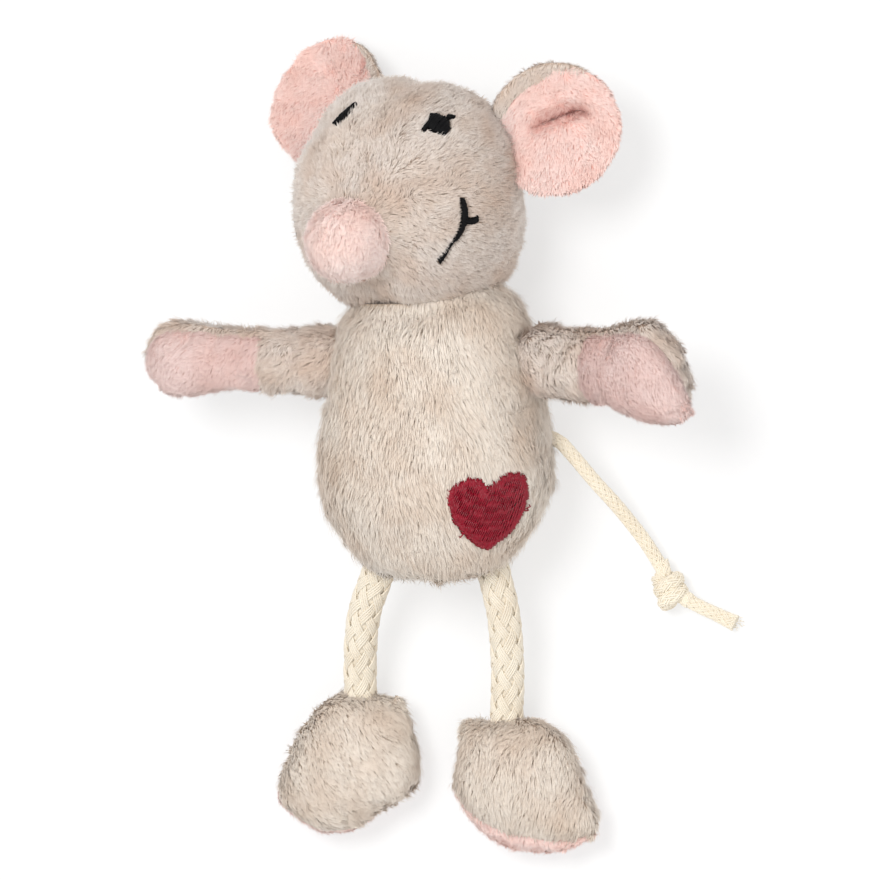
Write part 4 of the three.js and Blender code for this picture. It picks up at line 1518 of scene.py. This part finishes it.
def ear_surface(arc, ways, ear, seed):
    """Points of the ear. arc is 0 in the middle of the front, 1 at the rim and 2 in the middle behind."""
    out = np.sin(np.pi / 2 * arc)
    towards_face = np.cos(np.pi / 2 * arc)
    reach = EAR_RADIUS + ear["root_more"] * np.clip(-ways[:, 1] - 0.3, 0, 1)
    flat = (ways * (reach * np.abs(out) ** 0.8)[..., None]).reshape(-1, 2) + (0, EAR_MIDDLE)
    full = (EAR_HALF * np.sign(towards_face) * np.abs(towards_face) ** 0.5).ravel()
    from_middle = np.hypot(flat[:, 0], flat[:, 1] - EAR_MIDDLE)
    sag = EAR_CUP - math.sqrt(EAR_CUP**2 - EAR_MIDDLE**2)
    cup = EAR_CUP - np.sqrt(EAR_CUP**2 - from_middle**2) - sag
    wave = 0.5 * ripple(np.pad(flat, ((0, 0), (0, 1))), 13, seed)
    apart, deep = from_path(flat, ear["pleat"], ear["pleat_depth"])
    # The pleat is a wide valley with raised lips and a sharp crease, which is blunter behind.
    front = arc.ravel() < 1
    crease = np.where(front, 1.1, 0.35) * deep * hill(apart, np.where(front, 0.65, 1.8))
    valley = 0.75 * deep * hill(apart, 2.2) + crease
    lips = 0.3 * deep * hill(apart - 3.2, 1.4)
    return np.column_stack([flat, cup + wave + full - valley + lips])


EAR_SIDES = 110
EAR_RINGS = 36
EAR_SEAM_DIP = 0.5


def ear_layers(ear, seed):
    """The lining and the back, each as points and faces in the ear's frame."""
    turn = np.arange(EAR_SIDES) * 2 * np.pi / EAR_SIDES
    ways = np.stack([np.cos(turn), np.sin(turn)], 1)
    band = np.interp(np.degrees(turn), *ear["band"])
    inside = 2 / np.pi * np.arcsin(np.clip(1 - band / EAR_RADIUS, 0, 1) ** 1.25)
    seam = np.where(band > 0, inside, 1 - 0.14 * band)
    made = []
    for shares in (np.linspace(0.01, 1, EAR_RINGS), np.linspace(0, 0.99, EAR_RINGS)):
        front = shares[-1] == 1
        arc = np.array([seam * share if front else seam + (2 - seam) * share for share in shares])
        points = ear_surface(arc, ways, ear, seed)
        apart = np.abs(arc - seam).ravel() * EAR_RADIUS
        dip = EAR_SEAM_DIP * hill(apart, 0.9)
        slope = np.pi / 2 * arc.ravel()
        out = np.tile(ways, (EAR_RINGS, 1)) * np.sin(slope)[:, None]
        points -= np.column_stack([out, np.cos(slope)]) * dip[:, None]
        made.append((points, ring_faces(EAR_RINGS, EAR_SIDES, front)))
    return made


def ring_faces(rings, sides, outwards):
    """Quads between rings of points, and a cap where the rings are smallest."""
    faces = []
    for i in range(rings - 1):
        for k in range(sides):
            a, b = i * sides + k, i * sides + (k + 1) % sides
            faces.append((a, a + sides, b + sides, b))
    last = range((rings - 1) * sides, rings * sides)
    faces.append(tuple(range(sides) if outwards else reversed(last)))
    return faces


def build_ear(hand, ear, seed):
    place = ear_frame(ear["side"])

    def hold(piece, body):
        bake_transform(piece)

    def nap(roots):
        """Down, and out over the rim."""
        outwards = unit(roots - placed([(0, EAR_MIDDLE, 0)], place)[0])
        return outwards * 0.55 + np.tile((0.05, -0.75, 0), (len(roots), 1))

    def nap_behind(roots):
        """Down, but along the rim and not over it."""
        outwards = unit(roots - placed([(0, EAR_MIDDLE, 0)], place)[0])
        down = np.tile((0.05, -0.75, 0), (len(roots), 1))
        return down - outwards * np.maximum((down * outwards).sum(1), 0)[:, None]

    def painted_pleat_shade(roots):
        """How much of each strand takes the fold colour, as painted shade for the darker light inside the
        pleat.
        """
        flat = placed(roots, place.inverted())[:, :2]
        apart, deep = from_path(flat, ear["pleat"], ear["pleat_depth"])
        patchy = 0.6 + 0.6 * ripple(roots, 1.6, seed + 5)
        return np.clip(patchy * deep / PLEAT_DEEP * hill(apart, 1.5), 0, 1)

    lining, back = ear_layers(ear, seed)
    # Painted shade darkens the lining's strands along the pleat.
    front_pile = {**SHORT_PILE, "deep": painted_pleat_shade}
    for part, (points, faces), lie, style, looks, slot, number in (
        ("front", lining, nap, front_pile, PINK, "pink_plush", 1),
        ("back", back, nap_behind, EAR_PILE, GREY, "head_plush", 2),
    ):
        cut, triangles = cut_panel(points, faces, [((0, EAR_ROOT, 0), (0, 1, 0))])
        panel = (placed(cut, place), triangles)
        dress(
            f"ear_{hand}_{part}", f"ear_{hand}", panel, lie, style, looks, seed + number,
            hold=hold,
        )


for number, (hand, ear) in enumerate(EARS.items()):
    build_ear(hand, ear, 80 + 10 * number)

# %% [markdown]
# ## Body
#
# A pear of cream plush in a front and a back panel, with the longest pile of the toy, brushed down
# towards the feet. At the top it is gathered into a seat that the head sits in.

# %% Body measures
BODY_OUTLINE = (
    (68.1, 0), (68.6, 9), (70.9, 16.2), (75.5, 21.6), (82, 26.1), (88, 28.7), (95, 29.8), (103, 29.5),
    (112, 28.2), (121.5, 26.5), (131, 24), (138, 19.5), (142.5, 12), (144, 0),
)
BODY_MID = (-0.2, 22.9)
BODY_SEAM_Z = 18
BODY = {"outline": BODY_OUTLINE, "square": lambda along: 2.1, "depth": lambda along: 0.785}
BODY_FRAME = Matrix.Translation((BODY_MID[0], 0, BODY_MID[1]))
HEAD_SEAT = 28.4


# %% Body panels
def body_nap(roots):
    """Down towards the feet, drifting to the toy's left over the chest."""
    drift = 0.35 * np.clip((roots[:, 0] + 6) / 20, -0.2, 1)
    return np.stack([drift, np.full(len(roots), -1.0), np.zeros(len(roots))], 1)


def outside_head(points):
    return np.linalg.norm(points - HEAD_CENTRE, axis=1) > HEAD_SEAT


# %% Heart
HEART_OUTLINE = (
    (0.7, 5.0), (-0.2, 6.8), (-1.3, 8), (-3.4, 8.3), (-6.4, 7.4), (-8.2, 6.5), (-8.9, 4), (-8.4, 0.1),
    (-6.5, -3.8), (-3.2, -7.7), (-0.3, -9.9), (3, -8.1), (6.2, -5.9), (8.7, -3), (10.3, 0.3),
    (11.1, 3.6), (10.3, 6.6), (8.3, 7.8), (5.6, 7.6), (3.4, 6.8), (1.7, 6.1), (0.7, 5.0),
)
HEART_RISE = 0.3
HEART_EDGE = 1.5  # width of the satin stitches round it
HEART_SLANT = 58
HEART_LINE = spline(HEART_OUTLINE, np.linspace(0, 1, 90))[:-1]
HEART = patch_at((18.1, 84.5, 39.8), (0.55, -0.12, 0.84), 8, [HEART_LINE])
HEART_LOOSE = (((9.4, -1.2), (11.6, -0.9)), ((9.2, -1.7), (10.9, -1.8)), ((-6.0, -4.4), (-7.2, -5.7)))


def stitch_heart(skin):
    rng = np.random.default_rng(24)
    outline = HEART["outlines"][0]
    rows = rows_of_stitches(outline * 0.97, HEART_SLANT, 4.6, 0.4, rng)
    edge = np.concatenate([outline, outline[:1]])
    rim = stitches_across(edge, (HEART_EDGE, HEART_EDGE), 0.75, 0.6, rng, HEART_EDGE * 0.3)
    loose = [(np.array(first), np.array(last)) for first, last in HEART_LOOSE]
    parts = [
        lay_stitches(rows, HEART, skin, HEART_RISE, rng),
        lay_stitches(rim, HEART, skin, HEART_RISE - 0.05, rng),
        lay_stitches(loose, HEART, skin, HEART_RISE + 0.3, rng),
    ]
    embroider("heart", "torso", parts, RED_THREAD)


# %% Dress the body
def build_body():
    points, faces = swelling_form(BODY, 96, 120)
    from_neck = np.linalg.norm(placed(points, BODY_FRAME) - HEAD_CENTRE, axis=1) - HEAD_SEAT
    from_side = points[:, 2] + BODY_FRAME.translation.z - BODY_SEAM_Z
    points = stuffed(points, faces, np.minimum(np.abs(from_side), np.maximum(from_neck, 0)), 20)
    skin = skin_of(placed(points, BODY_FRAME), faces)
    normals = normals_of(points, faces)
    points = placed(points, BODY_FRAME) - normals * SKIN_UNDER
    points = pressed_in(points, normals, points[:, 2] - BODY_SEAM_Z, 0.8, 1.3)
    for node, towards, seed in (("body_front", 1, 21), ("body_back", -1, 22)):
        planes = [((0, 0, BODY_SEAM_Z), (0, 0, towards))]
        panel = cut_panel(points, faces, planes, outside_head)
        dress(node, "torso", panel, body_nap, BODY_PILE, CREAM, seed, [HEART])
    stitch_heart(skin)


build_body()

# %% [markdown]
# ## Arms
#
# Each arm is a stuffed tube: one beige panel along the back, a beige sleeve in front and a pink palm
# over the hand. It is held in the side seam.

# %% Arm measures
ARM_ROOT = ((-8.2, 0), (-7.1, 4.9), (-4.2, 8.3), (0.5, 9.6))
ARM_PLACE = (28, 121.3, 25)
PALM_SEAM = 15.5
PALM_ROLL = math.radians(24)
DROOP_START = 29
ARM_TAPER = 30
ARMS = {
    "left": {
        "side": 1, "lift": 23, "slope": -5, "droop": 0.026,
        "outline": ARM_ROOT + (
            (7, 9.6), (15, 9.9), (23, 11.2), (30, 12.8), (35, 12.5), (39.5, 10.6), (43.5, 7.3),
            (46.6, 3.2), (47.6, 0),
        ),
    },
    "right": {
        "side": -1, "lift": 3, "slope": 1, "droop": 0,
        "outline": ARM_ROOT + (
            (7, 9.1), (15, 8.8), (22, 9), (29, 9.8), (35, 10.5), (40, 9.8), (44, 7.3), (46.7, 3.3),
            (47.6, 0),
        ),
    },
}


def arm_frame(arm):
    """+Y runs along the arm, +Z looks out of the palm and +X lies across the hand."""
    rise = math.radians(arm["lift"])
    tilt = math.radians(arm["slope"])
    along = Vector((
        arm["side"] * math.cos(rise) * math.cos(tilt), math.sin(tilt), math.sin(rise) * math.cos(tilt),
    ))
    palm = Vector((0, 0, 1))
    palm = (palm - along * palm.dot(along)).normalized()
    across = along.cross(palm)
    turn = Matrix((across, along, palm)).transposed().to_4x4()
    return Matrix.Translation((ARM_PLACE[0] * arm["side"], *ARM_PLACE[1:])) @ turn


def arm_spec(arm):
    return {
        "outline": arm["outline"],
        "depth": lambda along: 0.9 - 0.22 * min(max(along / ARM_TAPER, 0), 1),
        "middle": lambda along: (arm["droop"] * max(along - DROOP_START, 0) ** 2 * arm["side"], 0),
    }


# %% Arm panels
def build_arm(hand, arm, seed):
    place = arm_frame(arm)
    points, faces = swelling_form(arm_spec(arm), 84, 80)
    palm = np.array((math.sin(PALM_ROLL) * arm["side"], 0, math.cos(PALM_ROLL)))
    across_palm = np.where(points @ palm > 0, np.abs(points[:, 1] - PALM_SEAM), 99)
    points = stuffed(points, faces, np.minimum(np.abs(points @ palm), across_palm), seed)
    normals = normals_of(points, faces)
    points = points - normals * SKIN_UNDER
    points = pressed_in(points, normals, points @ palm, 0.7, 1.1)
    over_palm = np.where(points @ palm > 0, points[:, 1] - PALM_SEAM, 99)
    points = pressed_in(points, normals, over_palm, 0.8, 1.1)
    front = ((0, 0, 0), tuple(palm))
    back = ((0, 0, 0), tuple(-palm))
    hands = ((0, PALM_SEAM, 0), (0, 1, 0))
    upper = ((0, PALM_SEAM, 0), (0, -1, 0))

    def nap(roots):
        """Towards the hand and down."""
        way = turned([(0.0, 1.0, 0.0)], place)[0]
        return np.tile(way * 0.6 + np.array((0, -0.8, 0)), (len(roots), 1))

    for part, planes, style, looks, slot in (
        ("back", [back], ARM_PILE, GREY, "head_plush"),
        ("sleeve", [front, upper], ARM_PILE, GREY, "head_plush"),
        ("palm", [front, hands], SHORT_PILE, SHADED_PALM_PINK, "pink_plush"),
    ):
        cut, triangles = cut_panel(points, faces, planes)
        seed += 1
        panel = (placed(cut, place), triangles)
        dress(f"arm_{hand}_{part}", f"arm_{hand}", panel, nap, style, looks, seed)
    add_filling(f"arm_{hand}_filling", f"arm_{hand}", arm_spec(arm), place, seed + 1)


for number, (hand, arm) in enumerate(ARMS.items()):
    build_arm(hand, arm, 30 + 10 * number)

# %% [markdown]
# ## Feet
#
# Each foot is a stuffed pad with a beige top and a pink sole.

# %% Foot measures
SOLE_DROP = 2.6  # how far the sole's seam lies under the middle of the foot
FOOT_DEPTH = 0.6
FOOT_SQUARE = 2.2


def foot_spec(leg):
    places, _, shifts = zip(*leg["outline"])
    return {
        "outline": leg["outline"],
        "square": lambda along: FOOT_SQUARE,
        "depth": lambda along: FOOT_DEPTH,
        "middle": lambda along: (np.interp(along, places, shifts), 0),
    }


# %% Foot panels
def build_foot(hand, leg, seed):
    place = Matrix.Translation(leg["foot"]) @ Matrix.Rotation(math.radians(leg["splay"]), 4, "Z")
    points, faces = swelling_form(foot_spec(leg), 84, 96)
    sole = unit(leg["sole_up"])
    seam_at = np.array(leg["foot"]) - (0, 0, SOLE_DROP)
    points = stuffed(points, faces, (placed(points, place) - seam_at) @ sole, seed)
    normals = normals_of(points, faces)
    points = placed(points - normals * SKIN_UNDER, place)
    normals = turned(normals, place)
    points = pressed_in(points, normals, (points - seam_at) @ sole, 0.9, 1.2)

    def nap(roots):
        return np.tile(leg["nap"], (len(roots), 1))

    for part, towards, style, looks, slot in (
        ("upper", sole, FOOT_PILE, BEIGE, "foot_plush"),
        ("sole", -sole, SHORT_PILE, PINK, "pink_plush"),
    ):
        seed += 1
        panel = cut_panel(points, faces, [(tuple(seam_at), tuple(towards))])
        dress(f"foot_{hand}_{part}", f"foot_{hand}", panel, nap, style, looks, seed)
    add_filling(f"foot_{hand}_filling", f"foot_{hand}", foot_spec(leg), place, seed + 1)


for number, (hand, leg) in enumerate(LEGS.items()):
    build_foot(hand, leg, 50 + 10 * number)

# %% [markdown]
# ## Inside the body
#
# The body's filling leaves room for the head, the arm roots and the rope ends. In its middle is a small
# cotton pouch of catnip, in a pocket of the filling.

# %% Body filling and catnip pouch
POUCH = {
    "outline": ((-15, 0), (-14.1, 9), (-9, 12), (9, 12), (14.1, 9), (15, 0)),
    "square": lambda along: 2.3,
    "depth": lambda along: 0.36,
}
POCKET_ROOM = 0.6  # between the pouch and the filling round it
POUCH_DENT = 0.3
HEAD_ROOM = 2.0
ARM_ROOM = 11.0
ROPE_ROOM = 1.5
HOLLOWS = [(HEAD_CENTRE, HEAD_SEAT + HEAD_ROOM)]
HOLLOWS += [(np.array((ARM_PLACE[0] * arm["side"], *ARM_PLACE[1:])), ARM_ROOM) for arm in ARMS.values()]
HOLLOWS += [(np.array(leg["route"][0]), ROPE_RADIUS + ROPE_ROOM) for leg in LEGS.values()]
WEAVE_PITCH = 0.5


def clear_of_hollows(points):
    """Points pushed out of each hollow."""
    for centre, radius in HOLLOWS:
        away = points - centre
        far = np.linalg.norm(away, axis=1)[:, None]
        points = np.where(far < radius, centre + away / far * radius, points)
    return points


def weave_material():
    """Plain woven cotton: threads over and under each other both ways."""
    material, tree, shader = new_material("pouch_cotton")
    inputs = {"Vector": own_place(tree), "Scale": wave_scale(WEAVE_PITCH)}
    waves = []
    for direction in ("X", "Y"):
        wave = add_node(tree, "TexWave", inputs)
        wave.bands_direction = direction
        waves.append(wave.outputs["Fac"])
    height = math_node(tree, "MAXIMUM", *waves)
    # Painted shade: the cotton is darker where the threads lie low.
    tone = mix_node(tree, height, colour(176, 158, 124), colour(214, 199, 166))
    set_inputs(tree, shader, {"Base Color": tone, "Roughness": 0.9})
    add_relief(tree, shader, height, 0.1, 1)
    return material


def fill_body():
    pouch, pouch_faces = swelling_form(POUCH, 30, 40)
    pouch = placed(pouch, Matrix.Translation(POUCH_CENTRE))
    outwards = normals_of(pouch, pouch_faces)
    pocket = pouch + outwards * POCKET_ROOM
    pouch = pouch - outwards * POUCH_DENT * (1 + ripple(pouch, 6, 91))[:, None]
    filling, faces = swelling_form(BODY, 60, 60)
    wad = under_skin(placed(filling, BODY_FRAME), normals_of(filling, faces), 92)
    hollow = [tuple(reversed(face)) for face in pouch_faces]
    made = gathered_parts([(above_floor(clear_of_hollows(wad)), faces), (pocket, hollow)])
    for node, (points, sides), look, slot in (
        ("body_filling", made, FILLING, "fibre_fill"),
        ("catnip_pouch", (pouch, pouch_faces), weave_material(), "pouch_cloth"),
    ):
        piece = finished_piece(f"{node}_inside", mesh_of(node, points, sides), look, node)
        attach(piece, "torso")


fill_body()

# %% [markdown]
# ## Light and floor
#
# A plain studio: an even pale sky, a broad lamp above and behind the head, a weaker one on the other side
# to fill, and a white floor. The floor keeps the toy's soft shadow and throws light up on it.

# %% Floor and light
FLOOR_REACH = 3.0  # metres each way
FLOOR_TONE = (0.93, 0.93, 0.93, 1)
WHITE = (1, 1, 1, 1)
FLOOR_WHITE = 0.6  # how much of the floor is plain white where it is looked at, so its shadow is pale
FLOOR_GLOW = 0.35  # how much of it is plain white for the light that it throws up on the toy
SKY_LIGHT = 0.67
LAMP_AIM = (0, 0, 0.02)
LAMPS = {  # place and size in metres, power in watts
    "key": ((-0.12, 0.32, 1.25), 0.6, 8.9),
    "fill": ((0.6, -0.5, 0.9), 0.9, 2.6),
}


def add_floor():
    corners = [(x * FLOOR_REACH, y * FLOOR_REACH, 0) for x, y in ((-1, -1), (1, -1), (1, 1), (-1, 1))]
    mesh = mesh_of("floor", corners, [(0, 1, 2, 3)])
    floor = bpy.data.objects.new("floor", mesh)
    bpy.context.scene.collection.objects.link(floor)
    material, tree, shader = new_material("pale_floor")
    set_inputs(tree, shader, {"Base Color": FLOOR_TONE, "Roughness": 0.9})
    plain = add_node(tree, "Emission", {"Color": WHITE})
    path = add_node(tree, "LightPath")
    seen = math_node(tree, "MAXIMUM", path.outputs["Is Camera Ray"], path.outputs["Is Glossy Ray"])
    seen = math_node(tree, "MAXIMUM", seen, path.outputs["Is Transmission Ray"])
    share = math_node(tree, "MAXIMUM", math_node(tree, "MULTIPLY", seen, FLOOR_WHITE), FLOOR_GLOW)
    both = add_node(tree, "MixShader", {0: share, 1: shader.outputs[0], 2: plain.outputs[0]})
    set_inputs(tree, tree.nodes["Material Output"], {"Surface": both.outputs[0]})
    mesh.materials.append(material)


def add_lamp(name, place, size, power):
    data = bpy.data.lights.new(name, "AREA")
    data.shape = "DISK"
    data.size = size
    data.energy = power
    lamp = bpy.data.objects.new(name, data)
    lamp.location = place
    lamp.rotation_mode = "QUATERNION"
    lamp.rotation_quaternion = (Vector(LAMP_AIM) - Vector(place)).to_track_quat("-Z", "Y")
    bpy.context.scene.collection.objects.link(lamp)


def add_sky():
    world = bpy.data.worlds.new("sky")
    world.use_nodes = True
    sky = world.node_tree.nodes["Background"]
    set_inputs(world.node_tree, sky, {"Color": WHITE, "Strength": SKY_LIGHT})
    bpy.context.scene.world = world


add_floor()
for name, lamp in LAMPS.items():
    add_lamp(name, *lamp)
add_sky()
bpy.context.scene.view_settings.view_transform = "Standard"
